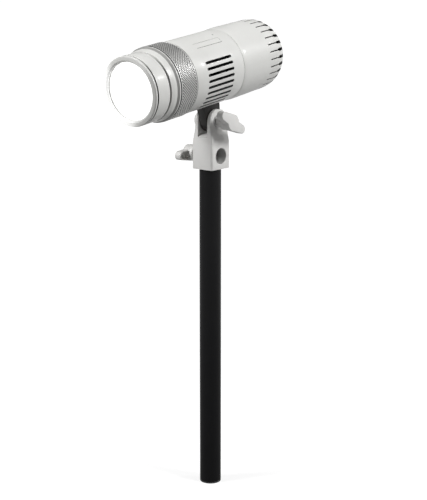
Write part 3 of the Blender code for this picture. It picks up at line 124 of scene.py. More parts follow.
def number(name, text, value, low, high):
    return IntProperty(name=name, description=text, default=value, min=low, max=high)


def colour(name, text, value):
    return FloatVectorProperty(name=name, description=text, default=value, min=0.0, max=1.0, size=3,
                               subtype="COLOR")


def angle(name, text, degrees):
    return FloatProperty(name=name, description=text, default=math.radians(degrees), subtype="ANGLE",
                         unit="ROTATION")


def level(name, text, value, high):
    return FloatProperty(name=name, description=text, default=value, min=0.0, max=high, subtype="FACTOR")


def power(name, text, value):
    return FloatProperty(name=name, description=text, default=value, min=0.0, unit="POWER")


class SpotlightSizes(PropertyGroup):
    housing_radius: length("Housing radius", "Outside of the middle housing", 0.0358)
    housing_wall: length("Housing wall", "Wall of the middle housing", 0.0020)
    rear_radius: length("Rear radius", "Widest radius of the rear housing", 0.0366)
    rear_tail: length("Rear tail radius", "Radius where the rear shoulder starts", 0.0360)
    rear_wall: length("Rear wall", "Wall of the rear housing", 0.0015)
    vent_width: length("Side vent width", "Width of the slots in the middle housing", 0.0027)
    slot_width: length("Rear slot width", "Width of a rear slot on the side wall", 0.0011)
    slot_wide: length("Rear slot mouth", "Width of a rear slot round the shoulder", 0.0030)
    slot_count: number("Rear slots", "Slots round the rear housing", 30, 6, 60)
    ring_radius: length("Focus ring radius", "Outside of the focus ring", 0.0365)
    knurl_around: number("Knurls around", "Knurl points round the ring", 82, 12, 200)
    knurl_rows: number("Knurl rows", "Knurl rows along the ring", 15, 2, 40)
    knurl_depth: length("Knurl depth", "Height of a knurl point", 0.00042)
    barrel_radius: length("Barrel radius", "Outside of the lens barrel", 0.0333)
    pole_radius: length("Pole radius", "Outside of the pole", 0.0110)


class SpotlightColours(PropertyGroup):
    body: colour("Body paint", "Light grey paint of the housings", (0.66, 0.66, 0.64))
    bracket: colour("Bracket paint", "Grey paint of the fork bracket", (0.69, 0.685, 0.67))
    knob: colour("Knob plastic", "Moulded plastic of the wing knobs", (0.70, 0.695, 0.68))
    strip: colour("Cover strip", "Strip on the upper side", (0.66, 0.66, 0.64))
    aluminium: colour("Aluminium", "Bare machined aluminium", (0.52, 0.52, 0.51))
    black: colour("Black paint", "Paint of the pole", (0.005, 0.005, 0.0055))
    lug: colour("Lug black", "Black metal of the lug and tube", (0.015, 0.0135, 0.0125))
    plastic: colour("Black plastic", "Moulded black plastic", (0.018, 0.018, 0.019))
    steel: colour("Steel", "Plated steel", (0.50, 0.50, 0.50))
    brass: colour("Brass", "Turned brass", (0.58, 0.44, 0.20))
    # The inside colour is dark inside the housings and on the heat sink. It is also painted shade in the
    # grooves and on the focus ring's front face.
    inside: colour("Inside", "Dark finish inside the housings and in the grooves", (0.035, 0.035, 0.036))
    gasket: colour("Gasket", "Pale silicone round the lens", (0.62, 0.62, 0.60))
    light: colour("Lamp light", "Colour of the lit lens", (1.0, 1.0, 1.0))


class SpotlightStage(PropertyGroup):
    camera_place: FloatVectorProperty(name="Camera place", description="Where the camera stands",
                                      default=(0.8269, -0.9941, 0.5377), size=3, subtype="TRANSLATION",
                                      unit="LENGTH")
    camera_turn: angle("Camera turn", "Angle of the camera round the pole", 39.61)
    camera_pitch: angle("Camera pitch", "Downward angle of the camera", 12.56)
    camera_lens: FloatProperty(name="Focal length", description="Lens of the camera in millimetres",
                               default=93.6, min=10.0, unit="CAMERA")
    room_light: level("Room light", "Level of the light from all sides", 0.15, 2.0)
    ceiling: level("Ceiling", "How bright the room's upper left looks in glossy surfaces", 0.25, 1.0)
    top_light: power("Top light", "Power of the soft lamp over the spotlight", 3.5)
    side_light: power("Side light", "Power of the soft lamp on the right", 22.0)
    front_light: power("Front light", "Power of the soft lamp at the front left", 28.5)
    rim_light: power("Rim light", "Power of the softbox at the back right", 3.2)


def sizes():
    return bpy.context.scene.spotlight_sizes


def colours():
    return bpy.context.scene.spotlight_colours


# Node helpers

FLOAT = "NodeSocketFloat"


def feed(tree, socket, value):
    """Gives a socket its value, or a link if the value is a socket."""
    if isinstance(value, bpy.types.NodeSocket):
        tree.links.new(value, socket)
    else:
        socket.default_value = value


def add_node(tree, kind, settings=(), **inputs):
    """A node with its settings and inputs. An input i6 is the one at place 6, and _ stands for a space."""
    made = tree.nodes.new(kind)
    for name, value in dict(settings).items():
        setattr(made, name, value)
    for name, value in inputs.items():
        feed(tree, made.inputs[int(name[1:]) if name[1:].isdigit() else name.replace("_", " ")], value)
    return made


def maths(tree, operation, *values, clamp=False):
    made = add_node(tree, "ShaderNodeMath", {"operation": operation, "use_clamp": clamp})
    for socket, value in zip(made.inputs, values):
        feed(tree, socket, value)
    return made.outputs[0]


def vector_maths(tree, operation, *values):
    """The number that a vector operation gives."""
    made = add_node(tree, "ShaderNodeVectorMath", {"operation": operation})
    for socket, value in zip(made.inputs, values):
        feed(tree, socket, value)
    return made.outputs["Value"]


def mixed(tree, factor, first, second):
    return add_node(tree, "ShaderNodeMix", {"data_type": "RGBA"}, i0=factor, i6=first, i7=second).outputs[2]


def mapped(tree, value, low, high, start=0.0, end=1.0, smooth=False):
    """From low to high as a value goes from start to end."""
    return add_node(tree, "ShaderNodeMapRange", {"interpolation_type": "SMOOTHSTEP" if smooth else "LINEAR"},
                    Value=value, From_Min=start, From_Max=end, To_Min=low, To_Max=high).outputs[0]


def noise(tree, spot, scale, detail=2.0, roughness=0.5, distortion=0.0):
    return add_node(tree, "ShaderNodeTexNoise", Vector=spot, Scale=scale, Detail=detail,
                    Roughness=roughness, Distortion=distortion).outputs[0]


def radius_and_station(tree, spot):
    """A spot's distance from the local Z axis and its place along it."""
    x, y, z = add_node(tree, "ShaderNodeSeparateXYZ", Vector=spot).outputs
    flat = add_node(tree, "ShaderNodeCombineXYZ", X=x, Y=y).outputs[0]
    return vector_maths(tree, "LENGTH", flat), z


def local(tree, spot, place=HEAD):
    """Object coordinates turned so that Z runs along the given frame's axis."""
    return add_node(tree, "ShaderNodeMapping", {"vector_type": "TEXTURE"}, Vector=spot,
                    Location=place.to_translation(), Rotation=place.to_euler()).outputs[0]


def toward(tree, spot, side, start, end):
    """0 to 1 as a spot lies from start to end of the way along a direction in the head's own frame."""
    reach = vector_maths(tree, "DOT_PRODUCT", local(tree, spot), side)
    return mapped(tree, reach, 0.0, 1.0, start, end, smooth=True)


# Shared effects


def new_group(name, numbers, *outputs):
    """A shader group that reads coordinates and named numbers and puts out numbers."""
    tree = bpy.data.node_groups.new(name, "ShaderNodeTree")
    tree.interface.new_socket("Coordinates", in_out="INPUT", socket_type="NodeSocketVector")
    for title, value in numbers.items():
        tree.interface.new_socket(title, in_out="INPUT", socket_type=FLOAT).default_value = value
    for title in outputs:
        tree.interface.new_socket(title, in_out="OUTPUT", socket_type=FLOAT)
    return tree, tree.nodes.new("NodeGroupInput").outputs, tree.nodes.new("NodeGroupOutput").inputs


def grain_group():
    """Fine orange peel of sprayed paint or moulded plastic."""
    tree, given, result = new_group("surface_grain", {"Grain Size": 0.0006}, "Height", "Tone")
    scale = maths(tree, "DIVIDE", 1.0, given["Grain Size"])
    fine = noise(tree, given["Coordinates"], scale, 3.0, 0.55)
    coarse = noise(tree, given["Coordinates"], maths(tree, "MULTIPLY", scale, 0.31))
    feed(tree, result["Height"], maths(tree, "ADD", maths(tree, "MULTIPLY", fine, 0.7),
                                       maths(tree, "MULTIPLY", coarse, 0.3)))
    feed(tree, result["Tone"], coarse)
    return tree


def blotch_group():
    """Broad uneven patches left by handling, dust and fine wipe marks."""
    tree, given, result = new_group("handling_marks", {"Patch Size": 0.03, "Sharpness": 1.0}, "Mask")
    scale = maths(tree, "DIVIDE", 1.0, given["Patch Size"])
    centred = maths(tree, "SUBTRACT", noise(tree, given["Coordinates"], scale, 5.0, 0.6, 0.4), 0.5)
    lifted = maths(tree, "MULTIPLY", centred, maths(tree, "ADD", given["Sharpness"], 1.0))
    feed(tree, result["Mask"], maths(tree, "ADD", lifted, 0.5, clamp=True))
    return tree


def scratch_group():
    """Sparse hairline scratches in two directions."""
    tree, given, result = new_group("hairline_scratches", {"Density": 0.5}, "Mask")
    masks = []
    for turn, stretch in (((0.4, 0.2, 0.9), (900.0, 26.0, 900.0)),
                          ((1.1, 0.7, -0.5), (26.0, 1000.0, 1000.0))):
        laid = add_node(tree, "ShaderNodeMapping", Vector=given["Coordinates"], Rotation=turn, Scale=stretch)
        edge = maths(tree, "SUBTRACT", 0.80, maths(tree, "MULTIPLY", given["Density"], 0.12))
        over = maths(tree, "SUBTRACT", noise(tree, laid.outputs[0], 1.0, 1.0), edge)
        masks.append(maths(tree, "MULTIPLY", over, 12.0, clamp=True))
    feed(tree, result["Mask"], maths(tree, "MAXIMUM", *masks))
    return tree


def turning_group():
    """Turning marks: rings round the local Z axis that change only with radius and station."""
    tree, given, result = new_group("turning_marks", {"Pitch": 0.0004}, "Height", "Tone")
    radius, station = radius_and_station(tree, given["Coordinates"])
    scale = maths(tree, "DIVIDE", 1.0, given["Pitch"])
    spot = add_node(tree, "ShaderNodeCombineXYZ", X=maths(tree, "MULTIPLY", radius, scale),
                    Y=maths(tree, "MULTIPLY", station, scale))
    lines = noise(tree, spot.outputs[0], 1.0)
    feed(tree, result["Height"], lines)
    feed(tree, result["Tone"], lines)
    return tree


def depth_group():
    """How deep a spot lies below a given radius round the local Z axis: 0 outside, 1 in the hollow. It masks
    the painted shade in the knurl's valleys.
    """
    tree, given, result = new_group("depth_below_radius", {"Floor": 0.01, "Top": 0.02}, "Mask")
    radius = radius_and_station(tree, given["Coordinates"])[0]
    feed(tree, result["Mask"], mapped(tree, radius, 1.0, 0.0, given["Floor"], given["Top"]))
    return tree


EFFECTS = {}


def effect(tree, build, **inputs):
    """Places a shared effect, which is built once, with this material's own values."""
    if build not in EFFECTS:
        EFFECTS[build] = build()
    return add_node(tree, "ShaderNodeGroup", {"node_tree": EFFECTS[build]}, **inputs).outputs


# Finishes


def started(name):
    """A new material, its tree and its Object coordinates."""
    made = bpy.data.materials.new(name)
    made.use_nodes = True
    return made, made.node_tree, add_node(made.node_tree, "ShaderNodeTexCoord").outputs["Object"]


def shade(made, bump=None, **inputs):
    """Feeds the sockets of the material's shader, and its relief: a height, its strength and its depth."""
    tree = made.node_tree
    if bump:
        height, strength, depth = bump
        inputs["Normal"] = add_node(tree, "ShaderNodeBump", Height=height, Strength=strength,
                                    Distance=depth).outputs[0]
    for name, value in inputs.items():
        feed(tree, tree.nodes["Principled BSDF"].inputs[name.replace("_", " ")], value)
    return made


def shaded(value, share):
    return tuple(min(channel * share, 1.0) for channel in value) + (1.0,)


def coated(name, value, roughness, grain=0.0006, depth=0.00003, spread=0.035, gloss=0.0, shine=0.5,
           painted_top_light=None):
    """Sprayed paint or moulded plastic with grain, uneven gloss, dust and hairline scratches.

    A painted top light is a lighter colour painted high on the head, where light falls into a groove, and the
    heights where that starts and ends."""
    made, tree, spot = started(name)
    fine = effect(tree, grain_group, Coordinates=spot, Grain_Size=grain)
    patch = effect(tree, blotch_group, Coordinates=spot, Patch_Size=0.03, Sharpness=1.2)["Mask"]
    hair = effect(tree, scratch_group, Coordinates=spot, Density=0.25)["Mask"]
    base = mixed(tree, patch, shaded(value, 1 - spread), shaded(value, 1 + spread))
    base = mixed(tree, mapped(tree, fine["Tone"], 0.0, 0.03), base, shaded(value, 0.7))
    base = mixed(tree, maths(tree, "MULTIPLY", hair, 0.22), base, shaded(value, 1.35))
    # Painted light: the colour turns lighter high on the head, as where light falls into a groove.
    if painted_top_light:
        raised, start, end = painted_top_light
        base = mixed(tree, toward(tree, spot, (0.0, 1.0, 0.0), start, end), base, raised)
    rough = maths(tree, "SUBTRACT", mapped(tree, patch, roughness - 0.07, roughness + 0.07),
                  maths(tree, "MULTIPLY", hair, 0.1))
    return shade(made, (fine["Height"], 0.6, depth), Base_Color=base, Roughness=rough,
                 Specular_IOR_Level=shine, Coat_Weight=gloss, Coat_Roughness=0.18)


def bezel_paint_with_painted_glow_and_shade():
    """The body's paint on the bezel's front, with a painted glow on the left where the lamp's light washes it
    out, and painted shade on the right.
    """
    value = colours().body
    made = coated("bezel_paint_with_painted_glow_and_shade", value, 0.42)
    tree = made.node_tree
    spot = add_node(tree, "ShaderNodeTexCoord").outputs["Object"]
    base = tree.nodes["Principled BSDF"].inputs["Base Color"].links[0].from_socket
    # Painted shade: the right side of the bezel's face is darkened to 0.66 of the paint.
    right = toward(tree, spot, (0.92, -0.38, 0.0), 0.008, 0.028)
    left = toward(tree, spot, (-0.914, -0.407, 0.0), 0.004, 0.022)
    # Painted glow: the left side of the bezel emits light, standing in for the lamp's flare over it.
    glow = mixed(tree, left, (0.0, 0.0, 0.0, 1.0), (*colours().light, 1.0))
    return shade(made, Base_Color=mixed(tree, right, base, shaded(value, 0.66)), Emission_Color=glow,
                 Emission_Strength=0.5)


def machined(name, value, roughness, pitch=0.0004, axis=HEAD, dull=0.25, hollow=None):
    """Bare metal with turning marks round an axis and dull patches, and painted shade between the hollow's
    radii.
    """
    made, tree, spot = started(name)
    marks = effect(tree, turning_group, Coordinates=local(tree, spot, axis), Pitch=pitch)
    patch = effect(tree, blotch_group, Coordinates=spot, Patch_Size=0.018, Sharpness=1.6)["Mask"]
    hair = effect(tree, scratch_group, Coordinates=spot, Density=0.4)["Mask"]
    base = mixed(tree, marks["Tone"], shaded(value, 0.86), shaded(value, 1.14))
    base = mixed(tree, mapped(tree, patch, 0.0, dull), base, shaded(value, 0.6))
    base = mixed(tree, maths(tree, "MULTIPLY", hair, 0.3), base, shaded(value, 1.3))
    # Painted shade: darker below the hollow's top radius, down to 0.12 of the metal in the knurl's valleys.
    if hollow:
        deep = effect(tree, depth_group, Coordinates=local(tree, spot, axis), Floor=hollow[0],
                      Top=hollow[1])
        base = mixed(tree, deep["Mask"], base, shaded(value, 0.12))
    return shade(made, (marks["Height"], 0.5, 0.00001), Base_Color=base, Metallic=1.0,
                 Roughness=mapped(tree, patch, roughness - 0.06, roughness + 0.1))


def lit_lens():
    """The glowing front lens: clear gloss over light that is even but for faint rings."""
    made, tree, spot = started("lit_lens")
    share = maths(tree, "DIVIDE", radius_and_station(tree, local(tree, spot))[0], 0.029)
    rings = maths(tree, "MULTIPLY", maths(tree, "SINE", maths(tree, "MULTIPLY", share, 46.0)), 0.006)
    fade = maths(tree, "SUBTRACT", 1.0, maths(tree, "MULTIPLY", maths(tree, "POWER", share, 3.0), 0.05))
    glow = mixed(tree, maths(tree, "ADD", fade, rings), (0.0, 0.0, 0.0, 1.0), (*colours().light, 1.0))
    haze = effect(tree, blotch_group, Coordinates=spot, Patch_Size=0.012, Sharpness=1.0)["Mask"]
    return shade(made, (haze, 0.1, 0.00002), Base_Color=(0.5, 0.5, 0.5, 1.0), Roughness=0.35,
                 Coat_Weight=1.0, Coat_Roughness=0.03, Emission_Color=glow, Emission_Strength=1.35)


def reflector_metal():
    """Bright metal with small facets."""
    made, tree, spot = started("reflector_metal")
    facets = add_node(tree, "ShaderNodeTexVoronoi", Vector=local(tree, spot), Scale=260.0).outputs["Distance"]
    return shade(made, (facets, 0.8, 0.0004), Metallic=1.0, Roughness=0.12,
                 Base_Color=mixed(tree, facets, (0.80, 0.81, 0.83, 1), (0.92, 0.92, 0.93, 1)))


def circuit_board(name, value, line_share):
    """Solder mask with fine copper tracks showing through."""
    made, tree, spot = started(name)
    tracks = add_node(tree, "ShaderNodeTexBrick", Vector=local(tree, spot), Scale=240.0, Mortar_Size=0.06,
                      Color1=shaded(value, 1.0), Color2=shaded(value, 0.9),
                      Mortar=shaded(value, line_share)).outputs
    tone = effect(tree, grain_group, Coordinates=spot, Grain_Size=0.0004)["Tone"]
    return shade(made, (tracks["Fac"], 0.5, 0.00003), Roughness=mapped(tree, tone, 0.25, 0.45),
                 Base_Color=mixed(tree, mapped(tree, tone, 0.0, 0.2), tracks["Color"], shaded(value, 0.7)))


def glowing_dome(name, value, strength):
    """Clear plastic or phosphor that glows in its own colour."""
    made, tree, spot = started(name)
    fine = effect(tree, grain_group, Coordinates=spot, Grain_Size=0.0005)
    base = mixed(tree, fine["Tone"], shaded(value, 0.85), shaded(value, 1.1))
    return shade(made, (fine["Height"], 0.4, 0.00001), Base_Color=base, Roughness=0.3, Coat_Weight=0.6,
                 Emission_Color=base, Emission_Strength=strength)


def make_finishes():
    c = colours()
    dark = dict(grain=0.0005, spread=0.2)
    fine = dict(pitch=0.0002)
    return dict(
        body=coated("body_paint", c.body, 0.42, gloss=0.22),
        # Painted shade: the collar's cove band is the body's paint darkened to 0.45.
        cove=coated("cove_painted_shade", tuple(v * 0.45 for v in c.body), 0.45, depth=0.00004),
        # Painted shade: the grooves are near-black, and painted light fades them towards the body's colour
        # high on the head.
        groove=coated("groove_painted_shade", c.inside, 0.6, painted_top_light=(shaded(c.body, 0.75), 0.006, 0.030), **dark),
        bezel=bezel_paint_with_painted_glow_and_shade(),
        socket=coated("socket_grey", (0.38, 0.38, 0.37), 0.55, grain=0.0008, depth=0.00005),
        inside=coated("inside_dark_and_painted_shade", c.inside, 0.6, **dark),
        gasket=coated("gasket_silicone", c.gasket, 0.5, grain=0.0004, depth=0.00002),
        bracket=coated("bracket_paint", c.bracket, 0.48, grain=0.0008, depth=0.00006),
        knob=coated("knob_plastic", c.knob, 0.50, grain=0.0005, depth=0.00004),
        strip=coated("strip_cover", c.strip, 0.45, grain=0.0004, depth=0.00001, gloss=0.05),
        black_paint=coated("pole_paint", c.black, 0.42, grain=0.0007, spread=0.2, shine=0.12),
        lug=coated("lug_black", c.lug, 0.45, depth=0.00004, spread=0.2, shine=0.3),
        plastic=coated("black_plastic_grain", c.plastic, 0.5, grain=0.0005, depth=0.00005, spread=0.15),
        rubber=coated("rubber_matt", c.plastic, 0.8, grain=0.0004, depth=0.00004, spread=0.2),
        mark=coated("mark_white", (0.75, 0.75, 0.73), 0.5, grain=0.0003, depth=0.00001),
        aluminium=machined("aluminium_machined", c.aluminium, 0.34),
        # Painted shade in the knurl's valleys, between these radii.
        ring=machined("aluminium_knurled", c.aluminium, 0.45, hollow=(0.03608, 0.03643)),
        sink=machined("aluminium_sink", c.inside, 0.45, pitch=0.0006, dull=0.4),
        steel=machined("steel_plated", c.steel, 0.28, **fine),
        pivot_steel=machined("steel_pivot", c.steel, 0.28, axis=TO_RIGHT, **fine),
        pole_steel=machined("steel_stud", c.steel, 0.30, pitch=0.0003, axis=WORLD),
        lock_steel=machined("steel_lock", c.steel, 0.28, axis=LOCK_AXIS, **fine),
        lock_brass=machined("brass_pad", c.brass, 0.3, axis=LOCK_AXIS, **fine),
        brass=machined("brass_insert", c.brass, 0.3, axis=TO_RIGHT, **fine),
        lens=lit_lens(),
        reflector=reflector_metal(),
        board_white=circuit_board("board_white_mask", (0.80, 0.80, 0.78), 0.8),
        board_green=circuit_board("board_green_mask", (0.03, 0.15, 0.06), 1.8),
        emitter=glowing_dome("phosphor_dome", (0.95, 0.80, 0.35), 2.0),
        indicator=glowing_dome("indicator_guide", (0.28, 0.31, 0.29), 0.1),
    )


FINISHES = {}


def finish(name):
    """The material of that finish, made once."""
    if not FINISHES:
        FINISHES.update(make_finishes())
    return FINISHES[name]


# Outlines and solids


def polar(radius, turn):
    return radius * math.cos(turn), radius * math.sin(turn)


def arc(centre_x, centre_y, radius, start, end, steps):
    spots = [polar(radius, math.radians(start + (end - start) * i / steps)) for i in range(steps + 1)]
    return [(centre_x + x, centre_y + y) for x, y in spots]


def rounded(corners, steps=4):
    """An outline whose corners (x, y, size) are rounded by their own size."""
    points = []
    for i, (x, y, *size) in enumerate(corners):
        here = Vector((x, y))
        if not size:
            points.append(here)
            continue
        before = Vector(corners[i - 1][:2]) - here
        after = Vector(corners[(i + 1) % len(corners)][:2]) - here
        half = before.angle(after) / 2
        reach = min(size[0] / math.tan(half), before.length * 0.49, after.length * 0.49)
        radius = reach * math.tan(half)
        before.normalize()
        after.normalize()
        centre = here + (before + after).normalized() * (radius / math.sin(half))
        start = here + before * reach - centre
        end = here + after * reach - centre
        turn = start.angle(end)
        for k in range(steps + 1):
            t = k / steps
            points.append(centre + (start * math.sin((1 - t) * turn) + end * math.sin(t * turn))
                          / math.sin(turn))
    return points


def lathe(outline, steps):
    """A solid turned round Z from a closed outline of (radius, station) points."""
    solid = bmesh.new()
    turns = [2 * math.pi * k / steps for k in range(steps)]
    rings = []
    for radius, station in outline:
        spots = [(0, 0)] if radius < 1e-6 else [polar(radius, turn) for turn in turns]
        rings.append([solid.verts.new((x, y, station)) for x, y in spots])
    for ring, other in zip(rings, rings[1:] + rings[:1]):
        if len(ring) == len(other) == 1:
            continue
        for k in range(steps):
            n = (k + 1) % steps
            if len(ring) == 1:
                solid.faces.new((ring[0], other[k], other[n]))
            elif len(other) == 1:
                solid.faces.new((ring[k], ring[n], other[0]))
            else:
                solid.faces.new((ring[k], ring[n], other[n], other[k]))
    bmesh.ops.recalc_face_normals(solid, faces=solid.faces)
    return solid


def slab(outline, low, high):
    """An outline in XY raised from low to high."""
    solid = bmesh.new()
    floor = solid.faces.new([solid.verts.new((x, y, low)) for x, y in outline])
    raised = bmesh.ops.extrude_face_region(solid, geom=[floor])
    lifted = [item for item in raised["geom"] if isinstance(item, bmesh.types.BMVert)]
    bmesh.ops.translate(solid, verts=lifted, vec=(0, 0, high - low))
    bmesh.ops.recalc_face_normals(solid, faces=solid.faces)
    return solid


def rod(radius, low, high, place=WORLD, steps=48):
    """A plain bar along Z, used as a cutter or as the core of a longer form."""
    solid = bmesh.new()
    bmesh.ops.create_cone(solid, cap_ends=True, segments=steps, radius1=radius, radius2=radius,
                          depth=high - low, matrix=place @ move(z=(low + high) / 2))
    return solid


def block(low, high):
    """A plain block between two corners, used as a cutter or as the core of a longer form."""
    solid = bmesh.new()
    middle = [(a + b) / 2 for a, b in zip(low, high)]
    size = [b - a for a, b in zip(low, high)]
    bmesh.ops.create_cube(solid, size=1.0, matrix=move(*middle) @ Matrix.Diagonal((*size, 1.0)))
    return solid


def turned_to(solid, matrix):
    bmesh.ops.transform(solid, matrix=matrix, verts=solid.verts)
    return solid


def face_outwards(solid):
    """Turns an open skin round Z so that its outer side is the front."""
    face = max(solid.faces, key=lambda item: item.calc_area())
    face.normal_update()
    middle = face.calc_center_median()
    if face.normal.dot(Vector((middle.x, middle.y, 0))) < 0:
        bmesh.ops.reverse_faces(solid, faces=solid.faces)
    return solid


# Objects


def loose(name, solid):
    """An object that is still being shaped."""
    mesh = bpy.data.meshes.new(name)
    solid.to_mesh(mesh)
    solid.free()
    made = bpy.data.objects.new(name, mesh)
    bpy.context.scene.collection.objects.link(made)
    return made


def settle(made):
    """Turns the object's modifiers into its mesh."""
    depsgraph = bpy.context.evaluated_depsgraph_get()
    depsgraph.update()
    mesh = bpy.data.meshes.new_from_object(made.evaluated_get(depsgraph), depsgraph=depsgraph)
    made.modifiers.clear()
    old = made.data
    made.data = mesh
    bpy.data.meshes.remove(old)
    mesh.name = made.name
    return made


@contextmanager
def opened(made):
    """The object's mesh, open for changes."""
    solid = bmesh.new()
    solid.from_mesh(made.data)
    yield solid
    solid.to_mesh(made.data)
    solid.free()


def weld(made, distance=0.000001):
    with opened(made) as solid:
        bmesh.ops.remove_doubles(solid, verts=solid.verts, dist=distance)
        bmesh.ops.dissolve_degenerate(solid, edges=solid.edges, dist=distance)
    return made


def carve(made, solid, operation="DIFFERENCE"):
    """Cuts, joins or keeps what is common with another solid."""
    tool = loose("tool", solid)
    step = made.modifiers.new("Carve", "BOOLEAN")
    step.operation = operation
    step.solver = "EXACT"
    step.object = tool
    settle(made)
    mesh = tool.data
    bpy.data.objects.remove(tool, do_unlink=True)
    bpy.data.meshes.remove(mesh)
    return weld(made, 0.000004)


def soften(made, width, segments, angle, where=None):
    """Rounds every edge that is sharper than the angle, or those of them whose middle is chosen."""
    with opened(made) as solid:
        edges = [edge for edge in solid.edges
                 if edge.is_manifold and edge.calc_face_angle() > math.radians(angle)
                 and (where is None or where((edge.verts[0].co + edge.verts[1].co) / 2))]
        bmesh.ops.bevel(solid, geom=edges, offset=width, offset_type="OFFSET", segments=segments,
                        profile=0.5, affect="EDGES", clamp_overlap=True)
    return made


def add_solid(made, solid, finish_index=0):
    """Joins another closed form to an object's mesh, with one of the object's finishes."""
    mesh = bpy.data.meshes.new("added")
    solid.to_mesh(mesh)
    solid.free()
    with opened(made) as whole:
        before = len(whole.faces)
        whole.from_mesh(mesh)
        whole.faces.ensure_lookup_table()
        for face in whole.faces[before:]:
            face.material_index = finish_index
    bpy.data.meshes.remove(mesh)
    return made


def dress(made, *names, choose=None):
    """Gives an object its finishes: the first one all over, or for each face the one that is chosen."""
    made.data.materials.clear()
    for name in names:
        made.data.materials.append(finish(name))
    for face in made.data.polygons if choose else ():
        face.material_index = names.index(choose(face.center))
    return made


def piece(made, name, place, body, main_finish, smooth=34.0):
    """Puts a finished form in its place: its finish, the body it rides on, what it stands for."""
    made.name = name + "_fine"
    made.data.name = name + "_fine"
    made.data.transform(place)
    if not any(made.data.materials):
        dress(made, main_finish)
    made.data.shade_smooth()
    made.data.set_sharp_from_angle(angle=math.radians(smooth))
    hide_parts(name)
    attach(made, body)


def lathed(name, corners, place, body, main_finish, steps):
    """A turned piece from its rounded outline."""
    piece(loose(name, lathe(rounded(corners), steps)), name, place, body, main_finish)


# Copies by Geometry Nodes


def copies_tree():
    """Repeats a form in rows round its Z axis, joins the copies and sets their material."""
    tree = bpy.data.node_groups.new("ring_of_copies", "GeometryNodeTree")
    face = tree.interface
    face.new_socket("Geometry", in_out="INPUT", socket_type="NodeSocketGeometry")
    for title, kind, value in (("Around", "NodeSocketInt", 12), ("Rows", "NodeSocketInt", 1),
                               ("First Angle", FLOAT, 0.0), ("Angle Step", FLOAT, 0.5),
                               ("Row Step", FLOAT, 0.0), ("Row Shift", FLOAT, 0.0),
                               ("Join Distance", FLOAT, 0.0)):
        face.new_socket(title, in_out="INPUT", socket_type=kind).default_value = value
    face.new_socket("Material", in_out="INPUT", socket_type="NodeSocketMaterial")
    face.new_socket("Geometry", in_out="OUTPUT", socket_type="NodeSocketGeometry")
    given = tree.nodes.new("NodeGroupInput").outputs
    index = tree.nodes.new("GeometryNodeInputIndex").outputs[0]
    row = maths(tree, "FLOOR", maths(tree, "DIVIDE", maths(tree, "ADD", index, 0.5), given["Around"]))
    column = maths(tree, "SUBTRACT", index, maths(tree, "MULTIPLY", row, given["Around"]))
    shift = maths(tree, "MULTIPLY", maths(tree, "MODULO", row, 2.0), given["Row Shift"])
    turn = maths(tree, "ADD", given["First Angle"],
                 maths(tree, "MULTIPLY", maths(tree, "ADD", column, shift), given["Angle Step"]))
    spot = add_node(tree, "ShaderNodeCombineXYZ", Z=maths(tree, "MULTIPLY", row, given["Row Step"]))
    turned = add_node(tree, "FunctionNodeEulerToRotation",
                      i0=add_node(tree, "ShaderNodeCombineXYZ", Z=turn).outputs[0])
    points = add_node(tree, "GeometryNodePoints", Position=spot.outputs[0],
                      Count=maths(tree, "MULTIPLY", given["Around"], given["Rows"]))
    laid = add_node(tree, "GeometryNodeInstanceOnPoints", Points=points.outputs[0],
                    Instance=given["Geometry"], Rotation=turned.outputs[0])
    real = add_node(tree, "GeometryNodeRealizeInstances", Geometry=laid.outputs[0])
    welded = add_node(tree, "GeometryNodeMergeByDistance", Geometry=real.outputs[0],
                      Distance=given["Join Distance"])
    dressed = add_node(tree, "GeometryNodeSetMaterial", Geometry=welded.outputs[0],
                       Material=given["Material"])
    add_node(tree, "NodeGroupOutput", Geometry=dressed.outputs[0])
    return tree


def repeated(name, solid, around, finish_name, rows=1, first=0.0, row_step=0.0, shift=0.0, join=0.0):
    """The form repeated by the copies tree, as one plain mesh."""
    made = loose(name, solid)
    tree = bpy.data.node_groups.get("ring_of_copies") or copies_tree()
    modifier = made.modifiers.new("Copies", "NODES")
    modifier.node_group = tree
    values = {"Around": around, "Rows": rows, "First Angle": first, "Angle Step": 2 * math.pi / around,
              "Row Step": row_step, "Row Shift": shift, "Join Distance": join,
              "Material": finish(finish_name)}
    for item in tree.interface.items_tree:
        if item.in_out == "INPUT" and item.name in values:
            modifier[item.identifier] = values[item.name]
    return settle(made)


# Skins with slots


class Skin:
    """A turned skin's outline by its own length, from the front to the back."""

    def __init__(self, points):
        self.points = [Vector(point) for point in points]
        self.reach = [0.0]
        for a, b in zip(self.points, self.points[1:]):
            self.reach.append(self.reach[-1] + (b - a).length)

    def at(self, along):
        """The radius and station at a length."""
        for i in range(1, len(self.points)):
            if along <= self.reach[i] or i == len(self.points) - 1:
                part = (along - self.reach[i - 1]) / (self.reach[i] - self.reach[i - 1])
                return self.points[i - 1].lerp(self.points[i], min(max(part, 0.0), 1.0))

    def along(self, station, start):
        """The length at a station, behind the point that is named as the start."""
        for i in range(start + 1, len(self.points)):
            a, b = self.points[i - 1].y, self.points[i].y
            if min(a, b) <= station <= max(a, b) and a != b:
                return self.reach[i - 1] + (station - a) / (b - a) * (self.reach[i] - self.reach[i - 1])


